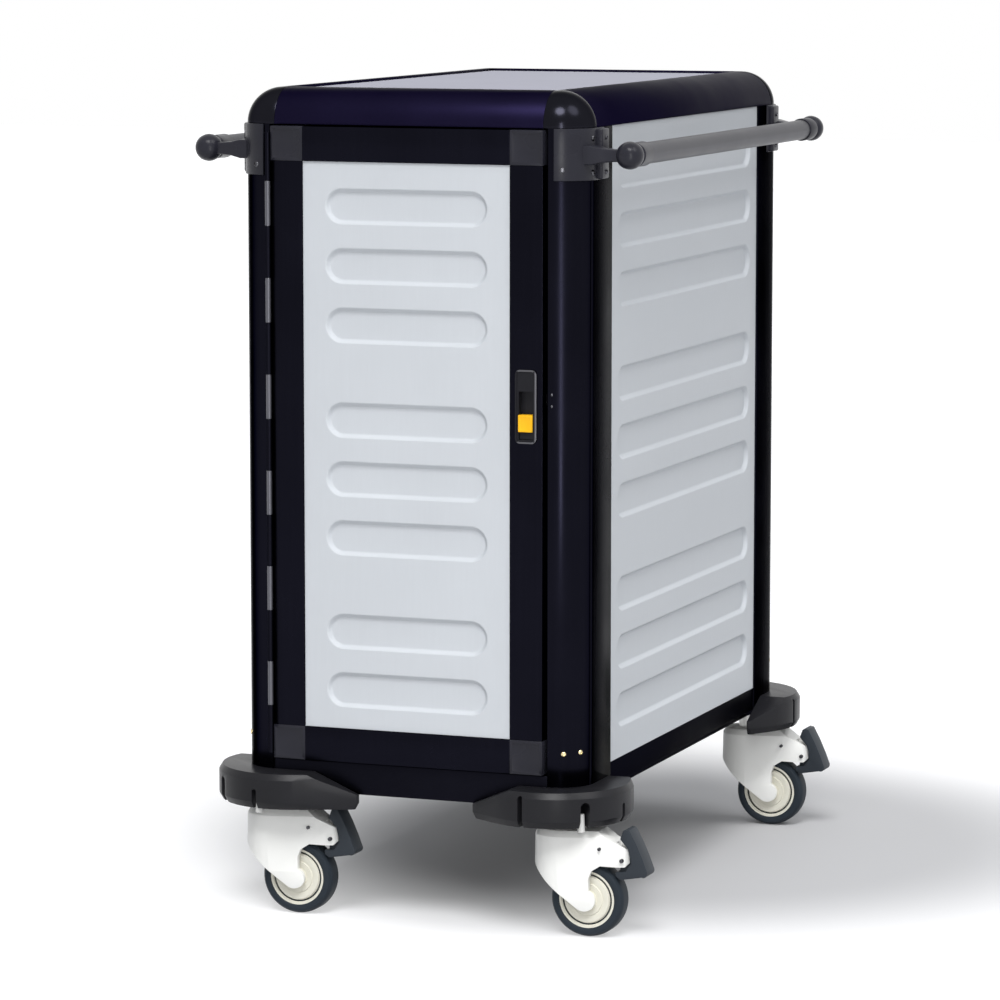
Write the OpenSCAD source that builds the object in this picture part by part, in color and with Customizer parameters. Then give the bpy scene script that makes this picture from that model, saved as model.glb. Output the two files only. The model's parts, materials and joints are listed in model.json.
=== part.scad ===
// Enclosed meal tray cart: a rounded black frame of posts and rails, embossed pale panels,
// one door on a long pin hinge, a slide latch, two side handles, four corner bumpers and
// four braked swivel casters. Inside, two ledged side sheets carry the trays.
// Millimetres. The origin is on the floor under the middle of the cabinet:
// +X is to the right, +Y to the back and +Z up, with the door at the front.

/* [Cabinet] */
// Width over the corner posts
body_w = 482; // [470:2:520]
// Depth over the corner posts
frame_d = 860; // [800:10:900]
// Height of the roof above the floor
roof_top = 1100; // [1060:10:1200]
// Radius of the posts, roof edges and roof corners
corner_r = 47; // [40:1:47]
// Width of the roof rails, and of the square roof corners
rail_w = 54; // [52:1:58]
// Height of the underside of the chassis above the floor
chassis_z = 170; // [168:1:178]
// Height of the front sill, from the chassis to the door
sill_h = 44; // [40:1:60]
// Height of the side rails below the side panels
side_rail_h = 32; // [26:1:36]
// Wall of the frame extrusions
frame_wall = 2.5; // [2:0.1:3.5]

/* [Corner posts] */
// Width of a post beside the door
post_return = 47.5; // [47.5:0.5:54]
// Length of a post along the side of the cart
post_flange = 115; // [100:1:125]
// Distance from the side face to the inner door stop
post_stop = 60.5; // [58:0.5:64]

/* [Panels] */
// Thickness of the embossed outer sheets with their backing
skin_t = 6; // [5:0.5:8]
// How far the panels lie back from the frame around them
panel_recess = 2; // [1:0.5:3]
// How far the roof sheet lies below the top of the roof rails
top_recess = 3.5; // [2:0.5:5]
// Height of a wall, counted in steps from one rib to the next
rib_steps = 10.8; // [10.6:0.1:12]
// Step from one group of ribs to the next, as a share of the step in a group
group_share = 1.6; // [1.45:0.01:1.63]
// Height of a rib, as a share of the step in a group
rib_share = 0.63; // [0.5:0.01:0.66]
// Depth of a rib
rib_depth = 4; // [2:0.5:4.5]
// Width of the sloped edge of a rib
rib_slope = 5; // [3:0.5:8]
// Length of a rib on the door
door_rib_l = 228; // [180:1:250]
// Distance from the top of the door panel to its first rib, in steps
door_rib_start = 0.43; // [0.3:0.01:0.5]
// Distance from the ends of a side or rear panel to its ribs
wall_rib_margin = 9; // [6:1:30]
// Distance from the top of a side or rear panel to its first rib, in steps
wall_rib_start = 0.47; // [0.3:0.01:0.5]

/* [Door] */
// Thickness of the door
door_t = 38; // [34:1:42]
// How far the door stands in front of the posts
door_proud = 8; // [4:1:12]
// Gap between the door and the posts
door_side_gap = 4; // [4:0.1:6]
// Gap above and below the door
door_end_gap = 2; // [1.5:0.5:3]
// Width of the door's stiles and rails
door_frame_w = 45.3; // [42:0.1:50]
// Thickness of the door seal
gasket_t = 3.5; // [2:0.5:5]

/* [Hinge] */
// Number of bright knuckles on the frame leaf
knuckle_count = 6; // [4:1:8]
// Length of a bright knuckle
knuckle_l = 58; // [40:1:62]
// Radius of the knuckles
knuckle_r = 3.6; // [3.4:0.1:5]
// Radius of the hinge pin
pin_r = 2; // [1.8:0.1:2.4]
// Distance from the ends of the door to the first and last bright knuckle
knuckle_margin = 72; // [50:1:90]
// Thickness of the hinge leaves
leaf_t = 1.5; // [1:0.1:1.7]

/* [Latch] */
// Height of the middle of the latch above the floor
latch_z = 695.5; // [500:0.5:800]
// Height of the latch plate
latch_h = 96; // [90:1:110]
// Width of the latch plate
latch_w = 29.5; // [27:0.5:32]
// Height of the sliding button
button_h = 22; // [16:1:26]
// Height of the foot below the button
foot_h = 10; // [6:1:12]
// Travel of the sliding button
button_travel = 30; // [24:1:32]
// Travel of the bolt
bolt_travel = 12; // [10:1:14]

/* [Trays] */
// Number of tray levels
tray_levels = 10; // [8:1:11]
// Width of a ledge
ledge_w = 16; // [10:1:20]
// Thickness of the inner sheets
sheet_t = 2; // [1:0.5:2.5]

/* [Handles] */
// Radius of the handle tubes
tube_r = 14; // [12:0.5:15]
// Distance from the side of the cart to the axis of a handle
handle_reach = 53; // [48:1:65]
// Distance from the seam below the roof down to the handles
handle_drop = 34; // [30:1:38]
// Distance from the end of the cart to the end ball of a handle
handle_inset = 31; // [27:1:45]
// Radius of the end balls
ball_r = 18; // [17.5:0.5:20]
// Height of a handle bracket
bracket_h = 67; // [56:1:72]
// Thickness of the bracket skin over the post
bracket_t = 3; // [2:0.5:4]

/* [Bumpers] */
// Radius of a bumper round the corner
bumper_r = 103; // [95:1:106]
// Distance from both faces to the middle of that round
bumper_c = 56; // [54:1:60]
// Length of the short wing of a bumper from the corner
short_wing = 150; // [140:1:160]
// Length of the long wing of a bumper from the corner
long_wing = 171; // [160:1:190]
// Height of the underside of the bumpers
bumper_z = 151; // [149:1:153]
// Height of a bumper
bumper_h = 47; // [40:1:50]
// Width of the arched notch at the corner
notch_w = 13; // [8:1:18]

/* [Casters] */
// Radius of the wheels
wheel_r = 50; // [49.5:0.1:50.5]
// Width of the tyres
tyre_w = 32; // [26:1:33]
// Distance from the sides of the cart to the swivel axes
side_inset = 36; // [34:1:40]
// Distance from the ends of the cart to the swivel axes
end_inset = 30; // [30:1:38]
// Distance from a swivel axis to its wheel axis
caster_trail = 38; // [34:1:40]
// Height of the caster housings above the floor
housing_top = 142; // [141:0.5:144]
// Radius of the round head of a housing
head_r = 37; // [35:1:39]
// Radius of the housing's nose
nose_r = 17; // [16:1:18]
// Distance from the swivel axis to the tip of the nose
nose_tip = 98; // [96:1:102]
// Radius of the wheel axle
axle_r = 5; // [4:0.5:6]
// Radius of the swivel stem
stem_r = 10; // [8:0.5:11]
// Angle that presses the brake shoe down
brake_angle = 12; // [8:1:12]

/* [Fits] */
// Gap between pieces that only rest against each other
seat_gap = 0.3; // [0.2:0.05:0.4]
// Radial clearance of pins, axles and stems in their bores
run_fit = 0.05; // [0.03:0.01:0.1]
// Gap round sliding and turning pieces that must not rub
slide_gap = 0.4; // [0.3:0.05:0.6]

/* [Hidden] */
$fn = 48;
arc_steps = 12;
cut = 1;

frame_black = "#1b1a22";
panel_grey = "#ced3da";
bumper_black = "#26262a";

// The frame round the cabin
half_w = body_w / 2;
half_d = frame_d / 2;
roof_seam = roof_top - corner_r;
roof_face = roof_top - top_recess;
sill_top = chassis_z + sill_h;
plate_t = 4;
post_bottom = chassis_z + plate_t;
plate_inset = 14;
stop_lip = 12;

// The door between the front posts, and its seat in them
door_half = half_w - post_return - door_side_gap;
door_front = -half_d - door_proud;
door_back = door_front + door_t;
door_bottom = sill_top;
door_top = roof_seam - door_end_gap;
rebate = door_t - door_proud + gasket_t + seat_gap;
panel_half = door_half - door_frame_w;
panel_bottom = door_bottom + door_frame_w;
panel_top = door_top - door_frame_w;
groove = 7.5;
face_lip = 2.5;
back_lip = 3.5;

// The long hinge at the left edge of the door
hinge_x = -half_w + post_return + door_side_gap / 2;
hinge_y = door_front - knuckle_r - 0.5;
leaf_margin = 8;
leaf_bottom = door_bottom + leaf_margin;
leaf_top = door_top - leaf_margin;
knuckle_pitch = (door_top - door_bottom - 2 * knuckle_margin - knuckle_l) / (knuckle_count - 1);
first_knuckle = door_bottom + knuckle_margin;
leaf_front = hinge_y + knuckle_r + 2 * seat_gap;

// The latch in the right stile
latch_x = door_half - door_frame_w / 2 + 0.5;
plate_front = door_front - 3;
case_w = latch_w - 6;
case_h = latch_h - 9;
case_d = 28;
slot_w = latch_w - 10;
slot_h = foot_h + button_h + button_travel + 2 * seat_gap;
button_z = latch_z - latch_h / 2 + 15.5;
slot_z = button_z - foot_h - seat_gap;
slot_back = door_front + 9;
button_d = 14;
bolt_h = 14;
bolt_t = 10;
bolt_y = door_front + 20;
bolt_z = latch_z + 8;
bolt_l = 34;
bolt_tip = door_half - seat_gap;
keeper_d = 12;

// The inside of the cabin
floor_top = sill_top + stop_lip;
floor_t = 3;
liner_x = post_stop - 1;
tray_pitch = (roof_seam - floor_top) / (tray_levels + 0.6);
first_ledge = floor_top + 0.42 * tray_pitch;
ledge_t = 4;

// The ribs of the walls and of the door
rib_pitch = (roof_seam - sill_top) / rib_steps;
rib_group_gap = group_share * rib_pitch;
rib_h = rib_share * rib_pitch;
wall_rib_top = wall_rib_start * rib_pitch;
door_rib_top = door_rib_start * rib_pitch;

// The handles, with their tubes seated in the sockets of the brackets
handle_z = roof_seam - handle_drop;
socket_seat = ball_r + 2;
socket_l = 2.8 * ball_r;
skin_end = 1.6 * corner_r;
pad_t = ball_r / 1.8;
arm_t = ball_r / 1.5;

// The bumpers, each one the next one turned a quarter
wing_tip = 4;
wing_tip_h = 19;
wing_slope = 64;
notch_turn = [-52, -3, 35];

// The casters, each with its nose to the right at rest
axle_z = wheel_r;
wheel_gap = 3;
well_r = wheel_r + 3.5;
well_w = tyre_w + 2 * wheel_gap;
hub_r = 14;
pivot = [nose_tip - 11, housing_top - 37];
pivot_r = 3;
lug_w = 15;
pedal_w = 30;
shoe_gap = 0.8;
rim_r = wheel_r - 12;
stem_tip = housing_top - 2.7 * stem_r;
collar_r = 1.3 * stem_r;
mount_edge = 0.3 * stem_r;
mount_t = 0.4 * stem_r;
stud_r = 0.5 * stem_r;
stud_near = 0.9 * stem_r;
stud_far = 3.1 * stem_r;

// Points on an arc round [x, y], from angle a to angle b
function arc(x, y, r, a, b) = [for (i = [0:arc_steps])
    [x + r * cos(a + (b - a) * i / arc_steps), y + r * sin(a + (b - a) * i / arc_steps)]];

// Heights of the tops of count ribs below top, in groups of three
function rib_tops(top, count) = [for (i = [0:count - 1])
    top - (i % 3) * rib_pitch - floor(i / 3) * (2 * rib_pitch + rib_group_gap)];

// Puts a shape, drawn inwards from the corner of the frame, on one of its four corners
module at_corner(side, end) {
    translate([side * half_w, end * half_d, 0])
        mirror([side > 0 ? 1 : 0, 0, 0])
            mirror([0, end > 0 ? 1 : 0, 0])
                children();
}

// Extrudes a section along X, with its x towards +Y and its y up
module along_x(length) {
    rotate([90, 0, 90])
        linear_extrude(length, center = true)
            children();
}

// Extrudes a section along Y, with its x towards +X and its y up
module along_y(length) {
    rotate([90, 0, 0])
        linear_extrude(length, center = true)
            children();
}

// A box from one corner to the other
module block(low, high) {
    translate(low)
        cube(high - low);
}

/* Frame */

// Outline of a post seen from above, inwards from the corner
module post_outline() {
    polygon(concat([[post_return, 0]], arc(corner_r, corner_r, corner_r, 270, 180),
        [[0, post_flange], [post_stop, post_flange], [post_stop, rebate], [post_return, rebate]]));
}

module post_cavity() {
    w = frame_wall;
    start = 270 - asin((corner_r - post_return + w) / (corner_r - w));
    polygon(concat(arc(corner_r, corner_r, corner_r - w, start, 180),
        [[w, post_flange - w], [post_stop - w, post_flange - w],
        [post_stop - w, rebate + w], [post_return - w, rebate + w]]));
}

module post(side, end) {
    color(frame_black)
        difference() {
            at_corner(side, end)
                translate([0, 0, post_bottom])
                    linear_extrude(roof_seam - post_bottom)
                        difference() {
                            post_outline();
                            post_cavity();
                        }
            if (side > 0 && end < 0)
                keeper_pocket(seat_gap);
        }
}

// Section of a roof rail: inwards from the face of the cart, and up from the seam
module rail_section(lip) {
    difference() {
        polygon(concat(arc(corner_r, 0, corner_r, 180, 90), [[rail_w, corner_r], [rail_w, -lip]],
            lip > 0 ? [[rebate, -lip], [rebate, 0]] : []));
        rail_cavity();
    }
}

module rail_cavity() {
    w = frame_wall;
    inner_r = corner_r - w;
    polygon(concat(arc(corner_r, 0, inner_r, 180 - asin(w / inner_r), 90),
        [[rail_w - w, corner_r - w], [rail_w - w, w]]));
}

module end_roof_rail() {
    color(frame_black)
        translate([0, -half_d, roof_seam]) {
            along_x(body_w - 2 * rail_w)
                rail_section(0);
            along_x(body_w - 2 * post_stop)
                polygon([[rebate, 0], [rail_w, 0], [rail_w, -stop_lip], [rebate, -stop_lip]]);
        }
}

module roof_rail_front() end_roof_rail();
module roof_rail_rear() mirror([0, 1, 0]) end_roof_rail();

module roof_rail_left() {
    color(frame_black)
        translate([-half_w, 0, roof_seam])
            along_y(frame_d - 2 * rail_w)
                rail_section(0);
}

module roof_rail_right() mirror([1, 0, 0]) roof_rail_left();

// A rounded block that joins two roof rails over a post
module roof_corner() {
    intersection() {
        hull() {
            translate([corner_r, corner_r, 0])
                sphere(corner_r, $fn = 28);
            translate([rail_w - cut, corner_r, 0])
                rotate([0, 90, 0])
                    cylinder(r = corner_r, h = cut, $fn = 28);
            translate([corner_r, rail_w, 0])
                rotate([90, 0, 0])
                    cylinder(r = corner_r, h = cut, $fn = 28);
            block([rail_w - cut, rail_w - cut, 0], [rail_w, rail_w, corner_r]);
        }
        cube([rail_w, rail_w, corner_r + cut]);
    }
}

module roof_corners() {
    color(bumper_black)
        for (side = [-1, 1], end = [-1, 1])
            at_corner(side, end)
                translate([0, 0, roof_seam])
                    roof_corner();
}

// Chassis plate with the sills and the side rails that stand on it
module base_frame() {
    color(frame_black) {
        block([-half_w + plate_inset, -half_d + plate_inset, chassis_z],
            [half_w - plate_inset, half_d - plate_inset, post_bottom]);
        for (end = [0, 1])
            mirror([0, end, 0])
                translate([0, -half_d, 0]) {
                    along_x(body_w - 2 * post_return)
                        sill_section();
                    along_x(body_w - 2 * post_stop)
                        stop_section();
                }
        for (side = [0, 1])
            mirror([side, 0, 0])
                translate([-half_w, 0, 0])
                    along_y(frame_d - 2 * post_flange)
                        side_rail_section();
    }
}

module sill_section() {
    w = frame_wall;
    difference() {
        block2([panel_recess, chassis_z], [rebate, sill_top - door_end_gap]);
        block2([panel_recess + w, post_bottom + w], [rebate - w, sill_top - door_end_gap - w]);
    }
}

module stop_section() {
    w = frame_wall;
    difference() {
        block2([rebate, chassis_z], [rail_w, floor_top]);
        block2([rebate + w, post_bottom + w], [rail_w - w, floor_top - w]);
    }
}

module side_rail_section() {
    w = frame_wall;
    bottom = sill_top - side_rail_h;
    difference() {
        union() {
            block2([panel_recess, bottom], [post_stop - 20, sill_top]);
            block2([plate_inset, chassis_z], [post_stop - 20, bottom + w]);
        }
        block2([panel_recess + w, bottom + w], [post_stop - 20 - w, sill_top - w]);
    }
}

module block2(low, high) {
    translate(low)
        square(high - low);
}

/* Panels */

// The recess of one embossed rib in a face at z = 0
module rib_cut(length) {
    hull()
        for (x = [-1, 1])
            translate([x * (length - rib_h) / 2, 0, -rib_depth])
                cylinder(r1 = rib_h / 2 - rib_slope, r2 = rib_h / 2 + rib_slope * 0.2,
                    h = rib_depth * 1.2, $fn = 24);
}

// A sheet that lies face up below z = 0, from y = 0 to y = height, with its ribs
module ribbed_sheet(width, height, length, first, count) {
    difference() {
        block([-width / 2, 0, -skin_t], [width / 2, height, 0]);
        for (top = rib_tops(height - first, count))
            translate([0, top - rib_h / 2, 0])
                rib_cut(length);
    }
}

module side_panel_left() {
    length = frame_d - 2 * post_flange;
    color(panel_grey)
        translate([-half_w + panel_recess, 0, sill_top])
            rotate([90, 0, -90])
                ribbed_sheet(length, roof_seam - sill_top, length - 2 * wall_rib_margin,
                    wall_rib_top, 9);
}

module side_panel_right() mirror([1, 0, 0]) side_panel_left();

module rear_panel() {
    width = body_w - 2 * post_return;
    color(panel_grey)
        translate([0, half_d - panel_recess, sill_top])
            rotate([90, 0, 180])
                ribbed_sheet(width, roof_seam - sill_top, width - 6 * wall_rib_margin,
                    wall_rib_top, 9);
}

module top_panel() {
    color(panel_grey)
        block([-half_w + rail_w, -half_d + rail_w, roof_face - skin_t],
            [half_w - rail_w, half_d - rail_w, roof_face]);
}

// A sheet of the cabin from z[0] to z[1], drawn in where it passes the posts
module cabin_sheet(z) {
    block([-half_w + liner_x, -half_d + post_flange, z[0]],
        [half_w - liner_x, half_d - post_flange, z[1]]);
    block([-half_w + post_stop, -half_d + rail_w, z[0]],
        [half_w - post_stop, half_d - rail_w, z[1]]);
}

module floor_panel() {
    color("silver")
        cabin_sheet([floor_top - floor_t, floor_top]);
}

// Ceiling sheet and back sheet of the cabin
module inner_liner() {
    color("silver") {
        cabin_sheet([roof_seam - sheet_t, roof_seam]);
        block([-half_w + post_return, half_d - rebate, sill_top],
            [half_w - post_return, half_d - rebate + sheet_t, roof_seam]);
    }
}

// Foam slabs between the skins: both sides, back, roof and floor
module wall_insulation() {
    outer = panel_recess + skin_t;
    color("khaki") {
        for (side = [0, 1])
            mirror([side, 0, 0])
                block([half_w - liner_x + sheet_t, -half_d + post_flange, sill_top],
                    [half_w - outer, half_d - post_flange, roof_seam]);
        block([-half_w + post_return, half_d - rebate + sheet_t, sill_top],
            [half_w - post_return, half_d - outer, roof_seam]);
        block([-half_w + rail_w, -half_d + rail_w, roof_seam],
            [half_w - rail_w, half_d - rail_w, roof_face - skin_t]);
        block([-half_w + post_stop, -half_d + rail_w, post_bottom],
            [half_w - post_stop, half_d - rail_w, floor_top - floor_t]);
    }
}

// Side sheet of the cabin with its tray ledges
module tray_rack_left() {
    length = frame_d - 2 * post_flange;
    color("silver") {
        block([-half_w + liner_x - sheet_t, -length / 2, floor_top],
            [-half_w + liner_x, length / 2, roof_seam - sheet_t]);
        for (i = [0:tray_levels - 1])
            block([-half_w + liner_x + seat_gap, -length / 2 + 10, first_ledge + i * tray_pitch],
                [-half_w + liner_x + ledge_w, length / 2 - 10,
                first_ledge + i * tray_pitch + ledge_t]);
    }
}

module tray_rack_right() mirror([1, 0, 0]) tray_rack_left();

/* Door */

module stile_section() {
    w = frame_wall;
    difference() {
        block2([-door_frame_w, 0], [0, door_t]);
        block2([-door_frame_w - cut, face_lip], [-door_frame_w + groove, door_t - back_lip]);
        block2([-door_frame_w + groove + w, w], [-w, door_t - w]);
    }
}

// A stile at the right edge of the door, between the corner pieces
module stile() {
    translate([door_half, door_front, panel_bottom])
        linear_extrude(panel_top - panel_bottom)
            stile_section();
}

module door_stile_hinge() {
    color(frame_black)
        mirror([1, 0, 0])
            stile();
}

module door_stile_latch() {
    color(frame_black)
        difference() {
            stile();
            latch_case(seat_gap);
            bolt_shape(slide_gap, bolt_travel);
        }
}

module door_rails() {
    length = 2 * panel_half;
    color(frame_black)
        for (z = [0, 1])
            translate([0, door_front, z == 0 ? panel_bottom : panel_top])
                mirror([0, 0, z])
                    rotate([0, 90, 0])
                        linear_extrude(length, center = true)
                            mirror([1, 0])
                                translate([0, 0])
                                    rail_of_door();
}

// Section of a door rail: its height along -x, from the panel edge to the door's edge
module rail_of_door() {
    translate([-0, 0])
        mirror([1, 0])
            translate([door_frame_w, 0])
                stile_section();
}

module door_corners() {
    color(bumper_black)
        for (side = [0, 1], z = [0, 1])
            mirror([side, 0, 0])
                translate([panel_half, door_front, z == 0 ? door_bottom : panel_top])
                    difference() {
                        cube([door_frame_w, door_t, door_frame_w]);
                        translate([-cut, face_lip, z == 0 ? door_frame_w - groove : -cut])
                            cube([groove + cut, door_t - face_lip - back_lip, groove + cut]);
                    }
}

module door_panel() {
    color(panel_grey)
        translate([0, door_front + face_lip, panel_bottom - groove])
            rotate([90, 0, 0])
                ribbed_sheet(2 * (panel_half + groove), panel_top - panel_bottom + 2 * groove,
                    door_rib_l, door_rib_top + groove, 8);
}

// Inner pan of the door, with its edges turned towards the outer sheet
module door_inner_panel() {
    x = panel_half + groove;
    y = [door_front + face_lip + skin_t, door_back - back_lip];
    z = [panel_bottom - groove, panel_top + groove];
    color("silver")
        difference() {
            block([-x, y[0], z[0]], [x, y[1], z[1]]);
            block([-x + sheet_t, y[0] - cut, z[0] + sheet_t],
                [x - sheet_t, y[1] - sheet_t, z[1] - sheet_t]);
        }
}

module door_insulation() {
    x = panel_half + groove - sheet_t;
    color("khaki")
        block([-x, door_front + face_lip + skin_t, panel_bottom - groove + sheet_t],
            [x, door_back - back_lip - sheet_t, panel_top + groove - sheet_t]);
}

module door_gasket() {
    edge = 1;
    width = 7;
    x = door_half - edge;
    z = [door_bottom + edge, door_top - edge];
    color("#303030")
        difference() {
            block([-x, door_back, z[0]], [x, door_back + gasket_t, z[1]]);
            block([-x + width, door_back - cut, z[0] + width],
                [x - width, door_back + gasket_t + cut, z[1] - width]);
        }
}

/* Hinge */

// One hinge knuckle on the hinge axis
module knuckle(z, length) {
    translate([hinge_x, hinge_y, z])
        cylinder(r = knuckle_r, h = length);
}

// The web from a knuckle to its leaf, which lies between x and x + leaf_t
module knuckle_web(x, z, length) {
    block([x, hinge_y, z], [x + leaf_t, leaf_front + cut, z + length]);
}

module leaf(x) {
    block([x, leaf_front, leaf_bottom], [x + leaf_t, door_back, leaf_top]);
}

module pin_bore() {
    translate([hinge_x, hinge_y, door_bottom])
        cylinder(r = pin_r + run_fit, h = door_top - door_bottom);
}

module hinge_frame_leaf() {
    x = -half_w + post_return;
    color("silver")
        difference() {
            union() {
                leaf(x);
                for (i = [0:knuckle_count - 1]) {
                    knuckle(first_knuckle + i * knuckle_pitch, knuckle_l);
                    knuckle_web(x, first_knuckle + i * knuckle_pitch, knuckle_l);
                }
            }
            pin_bore();
        }
}

module hinge_door_leaf() {
    x = -door_half - leaf_t;
    between = knuckle_pitch - knuckle_l - 2 * seat_gap;
    color(frame_black)
        difference() {
            union() {
                leaf(x);
                for (i = [0:knuckle_count - 2])
                    translate([0, 0, first_knuckle + knuckle_l + seat_gap + i * knuckle_pitch]) {
                        knuckle(0, between);
                        knuckle_web(x, 0, between);
                    }
                for (end = [[leaf_bottom, first_knuckle - seat_gap],
                    [door_top - knuckle_margin + seat_gap, leaf_top]]) {
                    knuckle(end[0], end[1] - end[0]);
                    knuckle_web(x, end[0], end[1] - end[0]);
                }
            }
            pin_bore();
        }
}

module hinge_pin() {
    color("silver")
        translate([hinge_x, hinge_y, leaf_bottom])
            cylinder(r = pin_r, h = leaf_top - leaf_bottom);
}

/* Latch */

// Case of the latch, grown by gap for the opening that takes it
module latch_case(gap) {
    block([latch_x - case_w / 2 - gap, door_front - cut, latch_z - case_h / 2 - gap],
        [latch_x + case_w / 2 + gap, door_front + case_d + gap, latch_z + case_h / 2 + gap]);
}

// The bolt, grown by gap and drawn out by travel
module bolt_shape(gap, travel) {
    block([bolt_tip - bolt_l - gap, bolt_y - bolt_t / 2 - gap, bolt_z - bolt_h / 2 - gap],
        [bolt_tip + travel + gap, bolt_y + bolt_t / 2 + gap, bolt_z + bolt_h / 2 + gap]);
}

module latch_housing() {
    r = 7;
    low = latch_z - latch_h / 2;
    color(bumper_black)
        difference() {
            union() {
                translate([latch_x, door_front, low])
                    rotate([90, 0, 0])
                        linear_extrude(door_front - plate_front)
                            polygon(concat(arc(latch_w / 2 - r, r, r, 270, 360),
                                arc(latch_w / 2 - r, latch_h - r, r, 0, 90),
                                arc(-latch_w / 2 + r, latch_h - r, r, 90, 180),
                                arc(-latch_w / 2 + r, r, r, 180, 270)));
                latch_case(0);
            }
            block([latch_x - slot_w / 2, plate_front - cut, slot_z],
                [latch_x + slot_w / 2, slot_back, slot_z + slot_h]);
            bolt_shape(seat_gap, bolt_travel);
        }
}

module latch_slider() {
    half = slot_w / 2 - seat_gap;
    back = slot_back - seat_gap;
    color("gold") {
        difference() {
            block([latch_x - half, back - button_d, button_z],
                [latch_x + half, back, button_z + button_h]);
            for (i = [-1:1])
                translate([latch_x, back - button_d, button_z + button_h / 2 + i * 5])
                    rotate([0, 90, 0])
                        cylinder(r = 1, h = button_h * 2, center = true);
        }
        block([latch_x - half, door_front, button_z - foot_h], [latch_x + half, back, button_z]);
    }
}

module latch_bolt() {
    color("silver")
        bolt_shape(0, 0);
}

// Pocket in the post that the bolt goes into
module keeper_pocket(gap) {
    x = half_w - post_return;
    block([x - cut, bolt_y - 9 - gap, bolt_z - 12 - gap],
        [x + keeper_d + gap, bolt_y + 9 + gap, bolt_z + 12 + gap]);
}

module latch_keeper() {
    x = half_w - post_return;
    color("silver")
        difference() {
            block([x, bolt_y - 9, bolt_z - 12], [x + keeper_d, bolt_y + 9, bolt_z + 12]);
            block([x - cut, bolt_y - 7, bolt_z - 9], [x + keeper_d - 2, bolt_y + 7, bolt_z + 9]);
        }
}

/* Handles */

module handle_tubes() {
    length = frame_d - 2 * (handle_inset + socket_seat);
    color("dimgray")
        for (side = [-1, 1])
            translate([side * (half_w + handle_reach), 0, handle_z])
                rotate([90, 0, 0])
                    difference() {
                        cylinder(r = tube_r, h = length, center = true);
                        cylinder(r = tube_r - 2, h = length + cut, center = true);
                    }
}

// Skin over the post, pad on the side, arm, end ball and collar of one handle end
module handle_bracket(side, end) {
    low = roof_seam - bracket_h;
    outer_r = corner_r + bracket_t;
    start = 261;
    color(bumper_black)
        at_corner(side, end)
            difference() {
                union() {
                    translate([0, 0, low])
                        linear_extrude(bracket_h)
                            polygon(concat(arc(corner_r, corner_r, outer_r, start, 180),
                                [[-bracket_t, skin_end], [cut, skin_end]],
                                arc(corner_r, corner_r, corner_r - cut, 180, start)));
                    block([-pad_t, corner_r, low], [cut, skin_end, roof_seam]);
                    hull() {
                        block([0, ball_r, handle_z - tube_r], [arm_t, 3 * ball_r, handle_z + arm_t]);
                        translate([-handle_reach, handle_inset, handle_z])
                            rotate([0, 90, 0])
                                cylinder(r = ball_r / 2, h = ball_r / 4, $fn = 24);
                    }
                    translate([-handle_reach, handle_inset, handle_z]) {
                        rotate([0, 0, 180])
                            sphere(ball_r);
                        rotate([-90, 0, 0])
                            cylinder(r = tube_r + 2, h = socket_l);
                    }
                }
                translate([0, 0, low - cut])
                    linear_extrude(bracket_h + 2 * cut)
                        post_outline();
                translate([-handle_reach, handle_inset + socket_seat, handle_z])
                    rotate([-90, 0, 0])
                        cylinder(r = tube_r + run_fit, h = socket_l);
            }
}

/* Bumpers */

// Bumper outline seen from above, drawn in by inset, with wings along the end and the side
module bumper_outline(wings, inset) {
    hull() {
        translate([bumper_c, bumper_c])
            circle(r = bumper_r - inset, $fn = 36);
        translate([wings[0] - wing_tip - inset, 1 - wing_tip])
            circle(r = wing_tip, $fn = 12);
        translate([1 - wing_tip, wings[1] - wing_tip - inset])
            circle(r = wing_tip, $fn = 12);
    }
}

module bumper_slab(wings, z, inset) {
    translate([0, 0, bumper_z + z])
        linear_extrude(cut)
            bumper_outline(wings, inset);
}

// Arched cutter from the round's middle outwards, at an angle from the corner's diagonal
module bumper_notch(angle, width, height) {
    translate([bumper_c, bumper_c, bumper_z - cut])
        rotate([0, 0, angle - 135])
            translate([bumper_r, 0, 0])
                rotate([90, 0, 90])
                    linear_extrude(60, center = true)
                        polygon(concat([[width / 2, 0]],
                            arc(0, height - width / 2, width / 2, 0, 180), [[-width / 2, 0]]));
}

// Wedge that lets the top of the wing along the end fall to its tip
module wing_wedge(length) {
    high = bumper_z + bumper_h;
    rotate([90, 0, 0])
        linear_extrude(2 * bumper_r, center = true)
            polygon([[length - wing_slope, high], [length + cut, bumper_z + wing_tip_h],
                [length + cut, high + cut], [length - wing_slope, high + cut]]);
}

module bumper(side, end) {
    turn = side * end;
    wings = turn > 0 ? [long_wing, short_wing] : [short_wing, long_wing];
    color(bumper_black)
        at_corner(side, end)
            difference() {
                hull() {
                    bumper_slab(wings, 0, 5);
                    bumper_slab(wings, 9, 0);
                    bumper_slab(wings, bumper_h - 9, 0);
                    bumper_slab(wings, bumper_h - cut, 5);
                }
                translate([0, 0, bumper_z - cut])
                    linear_extrude(bumper_h + 2 * cut)
                        polygon(concat(arc(corner_r, corner_r, corner_r, 270, 180),
                            [[0, 2 * bumper_r], [2 * bumper_r, 2 * bumper_r], [2 * bumper_r, 0]]));
                wing_wedge(wings[0]);
                mirror([1, -1, 0])
                    wing_wedge(wings[1]);
                bumper_notch(turn * notch_turn[0], notch_w / 2, bumper_h - 4);
                bumper_notch(turn * notch_turn[1], notch_w, bumper_h - 12);
                bumper_notch(turn * notch_turn[2], notch_w / 2, bumper_h - 20);
            }
}

/* Casters */

// Puts a caster piece, drawn about its swivel axis, at one corner
module at_caster(side, end) {
    translate([side * (half_w - side_inset), end * (half_d - end_inset), 0])
        children();
}

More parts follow.
